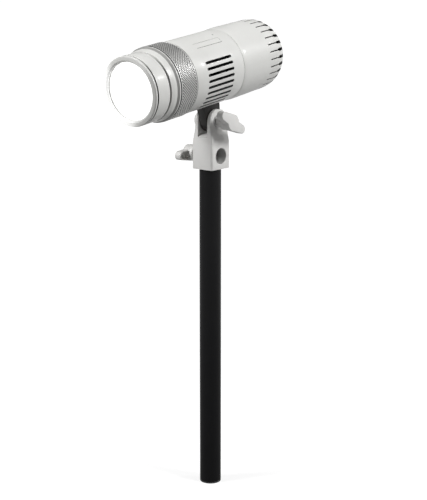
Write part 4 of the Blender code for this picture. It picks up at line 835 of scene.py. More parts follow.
class Slot:
    """A slot's half width by the skin's length, with rounded ends."""

    def __init__(self, turn, first, last, half, half_end=None, blend=None, end=None, power=2.0):
        self.turn, self.first, self.last = turn, first, last
        self.half, self.half_end, self.blend, self.power = half, half_end or half, blend, power
        self.lead, self.tail = end or half, end or self.half_end

    def body(self, along):
        if not self.blend:
            return self.half
        part = min(max((along - self.blend[0]) / (self.blend[1] - self.blend[0]), 0.0), 1.0)
        return self.half + (self.half_end - self.half) * part * part * (3 - 2 * part)

    def width(self, along):
        if along <= self.first + 1e-9 or along >= self.last - 1e-9:
            return 0.0
        near = 1.0
        if along < self.first + self.lead:
            near = (1 - ((self.first + self.lead - along) / self.lead) ** self.power) ** (1 / self.power)
        if along > self.last - self.tail:
            near = (1 - ((along - self.last + self.tail) / self.tail) ** self.power) ** (1 / self.power)
        return self.body(along) * near

    def rows(self, steps=6):
        turns = [QUARTER * k / steps for k in range(steps + 1)]
        found = [self.first + self.lead * (1 - math.cos(t)) for t in turns]
        found += [self.last - self.tail * (1 - math.cos(t)) for t in turns]
        if self.blend:
            found += [self.blend[0] + (self.blend[1] - self.blend[0]) * k / 6 for k in range(7)]
        return found

    def near_rows(self):
        """Rows just outside the slot's ends, which keep the shading of the ends to themselves."""
        return [self.first - 0.0006, self.first - 0.0016, self.last + 0.0006, self.last + 0.0016]


def slotted_skin(skin, slots, plain, closed=True):
    """A skin round Z with a column of points at each plain angle and a slit at each slot."""
    rows = sorted({round(value, 6) for value in
                   skin.reach + [row for slot in slots for row in slot.rows()] + slots[0].near_rows()})
    rows = [value for i, value in enumerate(rows) if i == 0 or value - rows[i - 1] > 0.00001]
    columns = sorted([(turn, None) for turn in plain] + [(slot.turn, slot) for slot in slots],
                     key=lambda item: item[0])
    solid = bmesh.new()
    lattice = []
    for along in rows:
        radius, station = skin.at(along)
        line = []
        for turn, slot in columns:
            half = slot.width(along) / radius if slot else 0.0
            turns = (turn - half, turn + half) if half > 0 else (turn,)
            verts = [solid.verts.new((*polar(radius, t), station)) for t in turns]
            line.append((verts[0], verts[-1]))
        lattice.append(line)
    count = len(columns)
    for near, far in zip(lattice, lattice[1:]):
        for i in range(count if closed else count - 1):
            n = (i + 1) % count
            solid.faces.new((near[i][1], near[n][0], far[n][0], far[i][1]))
    return face_outwards(solid)


def slot_cover(slot, radius, front, columns=16):
    """A curved patch that fills a slot of that outline in a skin of one radius."""
    solid = bmesh.new()
    lattice = []
    for along in sorted({round(value, 7) for value in slot.rows(8)}):
        half = slot.width(along) / radius
        turns = [slot.turn + half * (2 * i / columns - 1) for i in range(columns + 1)]
        lattice.append([solid.verts.new((*polar(radius, t), front - along)) for t in turns])
    for near, far in zip(lattice, lattice[1:]):
        for i in range(columns):
            solid.faces.new((near[i], near[i + 1], far[i + 1], far[i]))
    bmesh.ops.remove_doubles(solid, verts=solid.verts, dist=0.000001)
    return face_outwards(solid)


def walled(made, thickness, edge):
    """Gives a skin its wall, inwards and dark on the inner side and in the slots, and rounds the edges."""
    dress(made, "body", "inside")
    step = made.modifiers.new("Wall", "SOLIDIFY")
    step.material_offset = 1
    step.material_offset_rim = 1
    step.thickness = thickness
    step.offset = -1.0
    weld(settle(made))
    return soften(made, edge, 2, 38.0)


def spread_angles(fixed, gap):
    """Plain angles that fill the open arcs between the fixed ones, no further apart than the gap."""
    found = []
    ordered = sorted(fixed)
    for a, b in zip(ordered, ordered[1:] + [ordered[0] + 2 * math.pi]):
        count = int((b - a) / gap)
        found += [a + (b - a) * (k + 1) / (count + 1) for k in range(count)]
    return found


# Pole and bracket


def build_pole():
    """The black tube, the plug in its lower end and the stud in its upper end."""
    outer = sizes().pole_radius
    inner = outer - 0.0015
    top = BLOCK_BOTTOM - SEAT
    fit = inner - SEAT
    lathed("pole_tube", [(outer, top, 0.0004), (outer, 0.0018, 0.0004), (inner, 0.0018, 0.0002),
                         (inner, top, 0.0002)], WORLD, "pole", "black_paint", 96)
    lathed("pole_end_plug", [(0, 0.014), (fit - 0.001, 0.014, 0.0004), (fit, 0.013, 0.0004),
                             (fit, 0.0015, 0.0002), (outer, 0.0015, 0.0002), (outer, 0, 0.0006), (0, 0)],
           WORLD, "pole", "plastic", 96)
    stud = 0.0079
    waist = stud - 0.0012
    middle = LOCK_CENTRE.z
    high = top + 0.0242
    lathed("pole_stud", [(0, high), (stud, high, 0.001), (stud, middle + 0.00495, 0.0003),
                         (waist, middle + 0.00375, 0.0003), (waist, middle - 0.00375, 0.0003),
                         (stud, middle - 0.00495, 0.0003), (stud, top), (fit, top),
                         (fit, top - 0.02, 0.0006), (0, top - 0.02)], WORLD, "pole", "pole_steel", 96)


def build_bracket():
    """The square block with its sockets, shoulders and two round ears."""
    half, back, shoulder, neck = 0.0125, 0.0146, 0.0272, 0.0410
    pivot, ear, gap = 0.0482, 0.0117, 0.006
    top = pivot + ear
    front = [(-half, 0), (half, 0), (half, shoulder), (EAR_FACE, neck), (EAR_FACE, top + 0.001),
             (-EAR_FACE, top + 0.001), (-EAR_FACE, neck), (-half, shoulder)]
    side = [(-half, -0.001), (back, -0.001), (back, shoulder)]
    side += arc(back - half, pivot, ear, 0, 90, 24) + arc(0, pivot, ear, 90, 180, 24)
    side += [(-half, shoulder)]
    plan = rounded([(half, -half, 0.0024), (half, back), (-half, back), (-half, -half)], 6)
    made = loose("bracket_block", turned_to(slab(front, -back, half), FRONT_PLANE))
    carve(made, turned_to(slab(side, -0.0145, 0.0145), SIDE_PLANE), "INTERSECT")
    carve(made, slab(plan, -0.002, top + 0.002), "INTERSECT")
    soften(made, 0.0012, 4, 25.0, lambda p: p.z > 0.001)
    soften(made, 0.0003, 2, 40.0, lambda p: p.z < 0.001)
    reach, crown = back + 0.001, 0.0034
    rows = [reach * i / 16 for i in range(-16, 17)]
    space = [(y, 0.0322 + crown * (1 - abs(y / half) ** 2.6)) for y in rows]
    space += [(reach, top + 0.002), (-reach, top + 0.002)]
    carve(made, turned_to(slab(space, -gap, gap), SIDE_PLANE))
    carve(made, lathe(rounded([(0, -0.002), (0.0095, -0.002), (0.00815, 0.0006), (0.00815, 0.0248, 0.0006),
                               (0, 0.0248)]), 64))
    lock = LOCK_CENTRE.z - BLOCK_BOTTOM
    cross_y, cross_z = 0.0020, lock - 0.0006
    cross = rounded([(0, 0), (0.0080, 0), (0.0080, half - 0.0005), (0.0094, half + 0.001), (0, half + 0.001)])
    carve(made, turned_to(lathe(cross, 72), move(y=cross_y, z=cross_z) @ ALONG_X))
    hole = rounded([(0, 0.002), (BOLT_HOLE, 0.002), (BOLT_HOLE, half - 0.0004), (0.0042, half + 0.0006),
                    (0, half + 0.0006)])
    carve(made, turned_to(lathe(hole, 48), move(z=lock) @ spin(-QUARTER, "Y")))
    carve(made, turned_to(rod(BOLT_HOLE, -0.02, 0.02), move(z=pivot) @ ALONG_X))
    soften(made, 0.0009, 3, 30.0, lambda p: abs(p.y + half) < 0.0002 and abs(p.x) < gap - 0.001
           and 0.031 < p.z < 0.034)
    soften(made, 0.00035, 2, 40.0, lambda p: abs(abs(p.x) - gap) < 0.0001 and p.z > 0.0325)
    dress(made, "bracket", "socket",
          choose=lambda p: "socket" if 0.0002 < p.x < half - 0.0007
          and math.hypot(p.y - cross_y, p.z - cross_z) < 0.0082 else "bracket")
    piece(made, "bracket_block", BLOCK, "bracket", "bracket", 28.0)


def build_pivot():
    """The tilt bolt with its cap and washers."""
    head = EAR_FACE + SEAT
    tip = -(EAR_FACE + 0.012)
    lathed("pivot_bolt", [(0, head + 0.0032), (0.0052, head + 0.0032, 0.0004), (0.0052, head, 0.0002),
                          (BOLT, head), (BOLT, tip, 0.0006), (0, tip)], TO_LEFT, "bracket",
           "pivot_steel", 64)
    cap = head + 0.0052
    lathed("bolt_cap", [(0, cap), (0.0078, cap - 0.0003, 0.0013), (0.0078, head, 0.0002),
                        (0.0055, head, 0.0001), (0.0055, head + 0.0035), (0, head + 0.0035)],
           TO_LEFT, "bracket", "bracket", 96)
    for side, place in (("left", TO_LEFT), ("right", TO_RIGHT)):
        lathed("friction_washer_" + side, [(0.009, 0.0057, 0.0001), (0.009, 0.0051, 0.0001),
                                           (BOLT_HOLE, 0.0051, 0.0001), (BOLT_HOLE, 0.0057, 0.0001)],
               place, "bracket", "rubber", 72)
    lathed("thrust_washer", [(0.0066, head + 0.001, 0.0002), (0.0066, head, 0.0002), (BOLT_HOLE, head),
                             (BOLT_HOLE, head + 0.001, 0.0001)], TO_RIGHT, "tilt_washer",
           "pivot_steel", 72)


def wing_outline(boss, inset=0.0, start=None, reach=0.0156):
    """A boss with two wings, each with one side that leans from the boss, or the hollow of one wing."""
    tip, core = 0.0044 - inset, boss - inset
    lean = math.asin((core - tip) / reach)
    wing = arc(reach, 0, tip, math.degrees(lean) - 90, 90, 24)
    if start is not None:
        return wing + [(start, tip), (start, (start * math.sin(lean) - core) / math.cos(lean))]
    meet = math.degrees(math.asin(tip / core))
    half = wing + arc(0, 0, core, meet, 90 + math.degrees(lean), 16)
    return half + [(-x, -y) for x, y in half]


def knob_form(name, hub):
    """A moulded wing knob along Z from its inner end: hub, hollow boss and two hollow wings."""
    boss, depth, shell, pocket, wing = 0.0082, 0.0125, 0.0013, 0.0085, 0.0074
    front = hub + depth
    low = front - wing - 0.002
    inner, side, bore = boss - shell, boss - 0.0001, 0.00435
    made = loose(name, slab(wing_outline(boss), front - wing, front))
    soften(made, 0.0005, 3, 30.0)
    carve(made, rod(inner + shell / 2, low, hub + pocket, steps=64))
    profile = rounded([(0, front - 0.0012), (side, front - 0.0012), (side, hub, 0.0004), (inner, hub, 0.0004),
                       (inner, hub + pocket, 0.0005), (0.0048, hub + pocket, 0.0004), (0.0048, 0, 0.0004),
                       (bore, 0, 0.0001), (bore, hub + pocket), (0, hub + pocket)], 5)
    carve(made, lathe(profile, 96), "UNION")
    for turn in (0, math.pi):
        carve(made, turned_to(slab(wing_outline(boss, shell, 0.0057), low, front - shell), spin(turn)))
    return made


def build_knobs():
    """The tilt knob and the lock knob, with the insert, screw and pad that they turn."""
    start = move(0.0114)
    base = frame_matrix((0, 0, -1), (0, 1, 0), (1, 0, 0), PIVOT)
    piece(knob_form("tilt_knob", 0.0065), "tilt_knob", start @ base @ spin(math.radians(60.0)),
          "tilt_handle", "knob")
    lathed("tilt_knob_insert", [(0.00405, 0.0147, 0.0001), (0.00405, 0, 0.0002), (BOLT_HOLE, 0, 0.0002),
                                (BOLT_HOLE, 0.0147, 0.0001)], start @ TO_RIGHT, "tilt_handle",
           "brass", 64)
    base = frame_matrix((0, 0, 1), (0, 1, 0), (-1, 0, 0), (0, 0, LOCK_CENTRE.z))
    piece(knob_form("lock_knob", 0.0045), "lock_knob", move(-0.0131) @ base @ spin(math.radians(84.0)),
          "lock_handle", "knob")
    waist = 0.0067
    tip = waist + 0.0022
    lathed("lock_screw", [(0, 0.0258), (0.00405, 0.0258, 0.0003), (0.00405, 0.0131, 0.0002),
                          (BOLT, 0.0131), (BOLT, tip, 0.0004), (0, tip)], LOCK_LEFT, "lock_handle",
           "lock_steel", 64)
    lathed("lock_pad", [(0, waist + 0.0019), (0.0026, waist + 0.0019, 0.0002),
                        (0.0026, waist + 0.0003, 0.0002), (0, waist + 0.0003)], LOCK_LEFT, "lock_end",
           "lock_brass", 48)


# Lamp head


def build_lug():
    """The black lug that carries the head, shaped to the housing."""
    rise, housing, root, nose = 0.0525, 0.0358, 0.0112, 0.0142
    flank = rise - housing / 2
    outline = arc(0, 0, 0.0108, 180, 360, 48)
    outline += [(root, rise - housing), (root, flank), (-nose, flank), (-nose, rise - housing)]
    made = loose("mount_lug", turned_to(slab(outline, -0.0048, 0.0048), SIDE_PLANE))
    soften(made, 0.0006, 3, 25.0)
    carve(made, rod(housing + SEAT, -0.04, 0.04, move(z=rise) @ spin(QUARTER, "X"), 160))
    carve(made, rod(BOLT_HOLE, -0.01, 0.01, ALONG_X))
    piece(made, "mount_lug", LUG, "head", "lug", 28.0)


def build_middle_housing():
    """The middle housing with its side vents, the cover strip and the indicator."""
    radius = sizes().housing_radius
    front, back = 0.0614, -0.0093
    right = [-15.9 + 9.7 * (i - 4) for i in range(9)]
    slots = [Slot(math.radians(a) % (2 * math.pi), front - 0.0451, front - 0.0063, sizes().vent_width / 2)
             for a in right + [180 - a for a in right]]
    strip = Slot(math.radians(54.9), front - 0.0439, front - 0.0064, 0.0033, end=0.0011, power=4.5)
    slots.append(strip)
    clear = (strip.half + 0.0006) / radius
    plain = [turn for turn in spread_angles([slot.turn for slot in slots], math.radians(3.3))
             if abs(turn - strip.turn) > clear]
    made = loose("middle_housing", slotted_skin(Skin([(radius, front), (radius, back)]), slots, plain))
    walled(made, sizes().housing_wall, 0.0003)
    add_solid(made, lathe(rounded([(0.0346, -0.0085), (0.0346, -0.0128, 0.0002), (0.0336, -0.0128, 0.0002),
                                   (0.0336, -0.0085)]), 128), 1)
    piece(made, "middle_housing", HEAD, "head", "body", 32.0)

    cover = Slot(math.radians(55.15), front - 0.0438, front - 0.0065, 0.0030, end=0.0010, power=4.5)
    lid = loose("control_strip", slot_cover(cover, radius - 0.0001, front))
    walled(lid, 0.0014, 0.00015)
    lid.data.materials[0] = finish("strip")
    piece(lid, "control_strip", HEAD, "head", "strip")

    lathed("indicator_light", [(0, radius + 0.0003), (0.0010, radius + 0.0001, 0.0004),
                               (0.0010, radius - 0.002, 0.0001), (0, radius - 0.002)],
           HEAD @ spin(math.radians(69.7)) @ move(z=0.0070) @ ALONG_X, "head", "indicator", 40)


def knurl_point(foot, crest, half_turn, half_height):
    """One raised point of the knurl: a diamond with a smaller diamond on top."""
    cell = bmesh.new()
    low, high = [[cell.verts.new((*polar(radius, y * half_turn * share), z * half_height * share))
                  for y, z in ((-1, 0), (0, -1), (1, 0), (0, 1))]
                 for radius, share in ((foot, 1.0), (crest, 0.62))]
    cell.faces.new(high)
    cell.faces.new(low[::-1])
    for i in range(4):
        n = (i + 1) % 4
        cell.faces.new((low[i], low[n], high[n], high[i]))
    bmesh.ops.recalc_face_normals(cell, faces=cell.faces)
    return cell


def build_front():
    """The inner tube, the knurled focus ring and the nose collar."""
    lathed("front_tube", [(0.0329, 0.094, 0.0003), (0.0329, 0.0594), (0.0333, 0.0594, 0.0001),
                          (0.0333, 0.048, 0.0003), (0.0315, 0.048, 0.0003), (0.0315, 0.094, 0.0003)],
           HEAD, "head", "lug", 160)
    outer = sizes().ring_radius
    core = outer - sizes().knurl_depth
    back, front, bore, bare = 0.0626, 0.0851, 0.0332, 0.0011
    around, rows = sizes().knurl_around, sizes().knurl_rows
    pitch = (front - back - 2 * bare) / (rows + 1)
    cell = turned_to(knurl_point(core - 0.0002, outer - 0.00005, math.pi / around, pitch),
                     move(z=back + bare + pitch))
    made = repeated("focus_ring", cell, around, "ring", rows=rows, row_step=pitch, shift=0.5)
    add_solid(made, lathe(rounded(
        [(outer, front, 0.0005), (outer, front - bare, 0.0002), (core, front - bare - 0.0003),
         (core, back + bare + 0.0003), (outer, back + bare, 0.0002), (outer, back, 0.0005),
         (bore, back, 0.0002), (bore, front, 0.0002)]), 208))
    # Painted shade: the ring's front face takes the dark inside finish, standing in for the shadow in the gap
    # in front of it.
    dress(made, "ring", "inside", choose=lambda p: "inside" if p.z > front - 0.00022 else "ring")
    piece(made, "focus_ring", HEAD, "zoom_ring", "ring", 20.0)

    lip, cove, nose, bore = 0.0363, 0.0346, 0.0337, 0.0332
    profile = rounded([(0.0315, 0.0966, 0.0002), (nose, 0.0966, 0.0004), (cove, 0.0926, 0.0012),
                       (cove + 0.0002, 0.0896, 0.0010), (lip, 0.0878, 0.0004), (lip, 0.0863, 0.0002),
                       (bore, 0.0863, 0.0002), (bore, 0.0943), (0.0315, 0.0943)], 6)
    # The cove band between the collar's nose and its lip takes the painted shade.
    made = dress(loose("nose_collar", lathe(profile, 192)), "body", "cove",
                 choose=lambda p: "cove" if 0.0878 < p.z < 0.0906
                 and math.hypot(p.x, p.y) > bore + 0.0004 else "body")
    piece(made, "nose_collar", HEAD, "head", "body")


def build_barrel():
    """The telescoping barrel with its grooved bezel and the lit lens in it."""
    radius, front, opening = sizes().barrel_radius, 0.1182, 0.0278
    groove = radius - 0.0017
    profile = rounded([(0.0294, front, 0.0003), (radius, front, 0.0010), (radius, 0.1156, 0.0002),
                       (groove, 0.1156, 0.0003), (groove, 0.1140, 0.0003), (radius, 0.1140, 0.0003),
                       (radius, 0.0985, 0.0003), (0.0312, 0.0985, 0.0002), (0.0312, 0.0963),
                       (0.0312, 0.073, 0.0003), (0.0296, 0.073, 0.0003), (0.0296, 0.1160, 0.0002),
                       (opening, 0.1160, 0.0002), (opening, 0.1172, 0.0002)], 5)

    # The bezel's finish carries a painted glow and painted shade, and the grooves' finish carries painted
    # shade and painted light.
    def finish_at(p):
        reach = math.hypot(p.x, p.y)
        if p.z > 0.1171 or (p.z > 0.1158 and reach < 0.0285):
            return "bezel"
        if p.z < 0.0963 or reach < 0.0300:
            return "inside"
        return "groove" if reach < radius - 0.0005 and p.z < 0.1157 else "body"

    made = dress(loose("lens_barrel", lathe(profile, 208)), "body", "groove", "bezel", "inside",
                 choose=finish_at)
    piece(made, "lens_barrel", HEAD, "zoom_barrel", "body", 30.0)
    dome = [(0.0275 * i / 16, 0.1145 + 0.0036 * (1 - (i / 16) ** 2)) for i in range(17)]
    glass = lathe([Vector(p) for p in dome + [(0.0293, 0.1145), (0.0293, 0.1105), (0, 0.1105)]], 128)
    piece(loose("front_lens", glass), "front_lens", HEAD, "zoom_barrel", "lens", 25.0)


def build_rear_housing():
    """The rear housing: one slotted sector repeated round the axis, then given its wall and floor."""
    radius, tail = sizes().rear_radius, sizes().rear_tail
    front, straight, shoulder, end, rim = -0.0096, -0.0200, -0.0580, -0.0833, 0.0176
    edge, long, roundness = 0.0010, 0.0085, 2.8
    points = [(radius - edge + edge * math.sin(t), front - long + long * math.cos(t))
              for t in [QUARTER * i / 12 for i in range(13)]]
    wall = len(points)
    points += [(radius, straight), (tail, shoulder)]
    for i in range(1, 33):
        t = QUARTER * i / 32
        points.append((rim + (tail - rim) * math.cos(t) ** (2 / roundness),
                       shoulder + (end - shoulder) * math.sin(t) ** (2 / roundness)))
    skin = Skin(points)
    step = skin.along(-0.0672, wall)
    slot = Slot(0.0, skin.along(-0.0525, wall), skin.along(-0.0790, wall), sizes().slot_width / 2,
                sizes().slot_wide / 2, blend=(step - 0.0022, step + 0.0012))
    half_turn = math.pi / sizes().slot_count
    plain = [half_turn * share for share in (-1, -0.62, 0.62, 1)]
    made = repeated("rear_housing", slotted_skin(skin, [slot], plain, closed=False), sizes().slot_count,
                    "body", first=math.radians(9.9), join=0.00002)
    walled(made, sizes().rear_wall, 0.00025)
    floor = rounded([(0, -0.0791), (0.0196, -0.0791, 0.0003), (0.0196, -0.0820), (rim, -0.0820),
                     (rim, -0.0813), (0, -0.0813)])
    plate = loose("rear_floor", lathe(floor, 96))
    cut_panel_holes(plate, -0.083, -0.078)
    whole = bmesh.new()
    whole.from_mesh(plate.data)
    bpy.data.objects.remove(plate, do_unlink=True)
    add_solid(made, whole)
    piece(made, "rear_housing", HEAD, "head", "body", 30.0)


# Control plate. Its places are (x, y), its outer face is PLATE_BACK and what is fixed on it starts at
# OUTSIDE, further back. INSIDE is the floor's inner face.

DIMMER_AT = (0.0, 0.0075)
SWITCH_AT = (-0.0065, -0.0050)
INLET_AT = (0.0065, -0.0050)
SCREWS_AT = ((-0.0123, 0.0068), (0.0123, 0.0068))
PLATE_BACK, PLATE_FRONT = -0.0831, -0.0816
OUTSIDE = PLATE_BACK - SEAT
INSIDE = -0.0788
MARK = 1  # the plate's, knob's and rocker's second finish, for printed marks


def cut_panel_holes(made, back, front):
    """The dimmer's, inlet's and screws' round holes and the switch's square one."""
    for spot, radius in ((DIMMER_AT, 0.0036), (INLET_AT, 0.0042), (SCREWS_AT[0], 0.00125),
                         (SCREWS_AT[1], 0.00125)):
        carve(made, rod(radius, back, front, move(*spot), 40))
    x, y = SWITCH_AT
    carve(made, block((x - 0.0042, y - 0.0061, back), (x + 0.0042, y + 0.0061, front)))


def add_bar(made, x, y, long, wide, turn=0.0):
    """A printed bar: a very thin raised form on the plate, which faces backwards."""
    turned = Matrix.Rotation(turn, 2)
    corners = [turned @ Vector((a * long / 2, b * wide / 2)) + Vector((x, y))
               for a, b in ((-1, -1), (1, -1), (1, 1), (-1, 1))]
    add_solid(made, slab(corners, PLATE_BACK - 0.00006, PLATE_BACK + 0.00002), MARK)


def build_plate():
    """The control plate with its printed marks and its two screws."""
    plate = rounded([(0, PLATE_FRONT), (0.0173, PLATE_FRONT, 0.0002), (0.0173, PLATE_BACK, 0.0004),
                     (0, PLATE_BACK)])
    made = loose("rear_panel", lathe(plate, 128))
    cut_panel_holes(made, PLATE_BACK - 0.002, PLATE_FRONT + 0.002)
    dress(made, "plastic", "mark")
    for i in range(11):
        turn = math.radians(-45 + 27 * i)
        long = 0.0012 if i in (0, 10) else 0.0008
        x, y = polar(0.0070 + long / 2, turn)
        add_bar(made, DIMMER_AT[0] + x, DIMMER_AT[1] + y, long, 0.0003, turn)
    add_bar(made, SWITCH_AT[0], SWITCH_AT[1] - 0.0078, 0.0003, 0.0014)
    for shift in (-0.0013, 0.0, 0.0013):
        add_bar(made, INLET_AT[0] + shift, INLET_AT[1] - 0.0070, 0.0008, 0.00025)
    add_bar(made, INLET_AT[0], INLET_AT[1] - 0.0063, 0.0034, 0.00025)
    piece(made, "rear_panel", HEAD, "head", "plastic")

    for name, spot in zip(("panel_screw_left", "panel_screw_right"), SCREWS_AT):
        screw = loose(name, lathe(rounded(
            [(0, -0.0781), (0.001, -0.0781, 0.0002), (0.001, OUTSIDE), (0.0019, OUTSIDE, 0.0001),
             (0.0019, OUTSIDE - 0.0008, 0.0006), (0, OUTSIDE - 0.0012)], 5), 48))
        for turn in (0.4, 0.4 + QUARTER):
            cross = block((-0.0011, -0.00022, -0.001), (0.0011, 0.00022, 0.0))
            carve(screw, turned_to(cross, move(z=OUTSIDE - 0.0004) @ spin(turn)))
        piece(screw, name, HEAD @ move(*spot), "head", "steel")


def build_dimmer():
    """The dimmer with its bush and shaft, and its ribbed knob with a pointer."""
    place = HEAD @ move(*DIMMER_AT)
    bush = OUTSIDE - 0.0016
    shaft = bush - 0.004
    lathed("dimmer_pot", [(0, INSIDE + 0.0075), (0.0062, INSIDE + 0.0075, 0.0003),
                          (0.0062, INSIDE, 0.0002), (0.0033, INSIDE), (0.0033, bush, 0.0003),
                          (0.002, bush), (0.002, shaft, 0.0003), (0, shaft)], place, "head", "steel", 64)
    end = OUTSIDE - 0.0088
    grip = rounded([(0.0057, OUTSIDE, 0.0002), (0.0053, end + 0.0010, 0.0004), (0.0046, end, 0.0005),
                    (0, end + 0.0002), (0, shaft - SEAT), (0.0023, shaft - SEAT), (0.0023, bush - SEAT),
                    (0.0036, bush - SEAT), (0.0036, OUTSIDE, 0.0001)])
    rib = rod(0.00042, end + 0.0014, OUTSIDE - 0.0004, move(0.00545), 8)
    knob = repeated("dimmer_knob", rib, 24, "plastic")
    add_solid(knob, lathe(grip, 96))
    dress(knob, "plastic", "mark")
    pointer = slab([(-0.00025, 0.0008), (0.00025, 0.0008), (0.00025, 0.0042), (-0.00025, 0.0042)],
                   end - 0.00006, end + 0.0003)
    add_solid(knob, pointer, MARK)
    piece(knob, "dimmer_knob", place, "dimmer", "plastic", 40.0)


def build_switch():
    """The switch's frame and its rocker with the marks for on and off."""
    made = loose("switch_frame", block((-0.0045, -0.0064, OUTSIDE - 0.001), (0.0045, 0.0064, OUTSIDE)))
    soften(made, 0.0004, 3, 40.0)
    carve(made, block((-0.0039, -0.0058, OUTSIDE - 0.0003), (0.0039, 0.0058, OUTSIDE + 0.009)), "UNION")
    carve(made, block((-0.0030, -0.0049, OUTSIDE - 0.002), (0.0030, 0.0049, -0.0768)))
    piece(made, "switch_frame", HEAD @ move(*SWITCH_AT), "head", "plastic")

    radius = 0.0046
    brow = radius * 0.63
    hollow = [(radius * 0.89 * t, -brow * (0.76 + 0.24 * t * t))
              for t in (-0.75, -0.5, -0.25, 0, 0.25, 0.5, 0.75)]
    outline = arc(0, 0, radius, 0, 180, 32) + [(-radius * 0.93, -brow * 0.4), (-radius * 0.89, -brow)]
    outline += hollow + [(radius * 0.89, -brow), (radius * 0.93, -brow * 0.4)]
    made = loose("power_rocker", slab(outline, -0.0027, 0.0027))
    soften(made, 0.00025, 2, 40.0)
    dress(made, "plastic", "mark")
    face = -brow * 0.86
    add_solid(made, block((-0.0025, face - 0.00045, -0.00015), (-0.0013, face + 0.0006, 0.00015)), MARK)
    ring = lathe([(0.00065, -0.0004), (0.00065, 0.0004), (0.0004, 0.0004), (0.0004, -0.0004)], 32)
    add_solid(made, turned_to(ring, move(0.0021, face) @ spin(QUARTER, "X")), MARK)
    lay = move(*SWITCH_AT, -0.0820) @ spin(QUARTER, "Y") @ spin(QUARTER + math.radians(10))
    piece(made, "power_rocker", HEAD @ lay, "rocker", "plastic")


def build_inlet():
    """The socket for the supply's plug, with its pin."""
    deep = INSIDE + 0.0045
    lathed("power_inlet", [(0, deep), (0.0039, deep, 0.0003), (0.0039, OUTSIDE), (0.0045, OUTSIDE, 0.0001),
                           (0.0045, OUTSIDE - 0.0012, 0.0004), (0.0028, OUTSIDE - 0.0012, 0.0003),
                           (0.0028, deep - 0.0015), (0.001, deep - 0.0015), (0.001, OUTSIDE, 0.0004),
                           (0, OUTSIDE)], HEAD @ move(*INLET_AT), "head", "plastic", 64)


def build_inside():
    """What shows through the vents: the finned heat sink and the driver board with its parts."""
    back, base_back, base_front, core, tip = 0.0095, 0.0400, 0.0438, 0.0095, 0.0328
    fin = block((core - 0.001, -0.0005, back + 0.0004), (tip, 0.0005, base_back + 0.001))
    made = repeated("heat_sink", fin, 20, "sink", first=math.radians(7.2))
    add_solid(made, lathe(rounded([(0, base_front), (0.0333, base_front, 0.0003),
                                   (0.0333, base_back, 0.0003), (core, base_back), (core, back, 0.0006),
                                   (0, back)]), 128))
    piece(dress(made, "sink"), "heat_sink", HEAD, "head", "sink")

    edge, hole, face, under = 0.0343, 0.013, -0.038, -0.0396
    made = loose("driver_board", lathe(rounded([(edge, face, 0.0001), (edge, under, 0.0001),
                                                (hole, under, 0.0001), (hole, face, 0.0001)]), 96))
    dress(made, "board_green", "plastic")
    middle = (edge + hole) / 2
    for turn in (40, 140, 270):
        coil = rounded([(0, under + 0.0002), (0.0056, under + 0.0002), (0.0060, under - 0.002, 0.0006),
                        (0.0060, under - 0.0080, 0.0008), (0, under - 0.009)], 5)
        add_solid(made, turned_to(lathe(coil, 40), spin(math.radians(turn)) @ move(middle)), 1)
    for turn, wide, deep in ((5, 0.003, 0.0015), (75, 0.004, 0.001), (100, 0.002, 0.002),
                             (185, 0.005, 0.0012), (215, 0.003, 0.002), (235, 0.002, 0.001),
                             (305, 0.004, 0.0016), (335, 0.0025, 0.001)):
        chip = block((-wide, -wide * 0.7, under - deep), (wide, wide * 0.7, under + 0.0002))
        add_solid(made, turned_to(chip, spin(math.radians(turn)) @ move(middle + 0.001)), 1)
    piece(made, "driver_board", HEAD, "head", "board_green")


CARRIED = {"lug_screw_front": "steel", "lug_screw_rear": "steel", "lens_gasket": "gasket",
           "lens_retainer": "lug", "reflector": "reflector", "led_emitter": "emitter",
           "led_board": "board_white", "fan_frame": "plastic", "fan_rotor": "plastic"}


def dress_carried():
    """Gives the inner pieces that stay as they were made their finishes."""
    for node, finish_name in CARRIED.items():
        for slot in frame["nodes"][node].material_slots:
            slot.material = finish(finish_name)


# Stage


def white_world():
    """The white room: what the camera sees is white, and a glossy surface sees a darker upper left."""
    world = bpy.data.worlds.new("white_room")
    world.use_nodes = True
    tree = world.node_tree
    tree.nodes.clear()
    stage = bpy.context.scene.spotlight_stage
    path = tree.nodes.new("ShaderNodeLightPath").outputs
    direction = tree.nodes.new("ShaderNodeTexCoord").outputs["Generated"]
    height = vector_maths(tree, "DOT_PRODUCT", direction, (-0.8, 0.0, 0.6))
    overhead = mapped(tree, height, 1.0, stage.ceiling, 0.40, 0.56, smooth=True)
    white = (1.0, 1.0, 1.0, 1.0)
    light = add_node(tree, "ShaderNodeBackground", Color=white, Strength=stage.room_light)
    plain = add_node(tree, "ShaderNodeBackground", Color=white,
                     Strength=maths(tree, "MAXIMUM", path["Is Camera Ray"], overhead))
    mirrored = maths(tree, "MAXIMUM", path["Is Glossy Ray"], path["Is Transmission Ray"])
    mix = add_node(tree, "ShaderNodeMixShader", i0=maths(tree, "MAXIMUM", path["Is Camera Ray"], mirrored),
                   i1=light.outputs[0], i2=plain.outputs[0])
    add_node(tree, "ShaderNodeOutputWorld", Surface=mix.outputs[0])
    bpy.context.scene.world = world


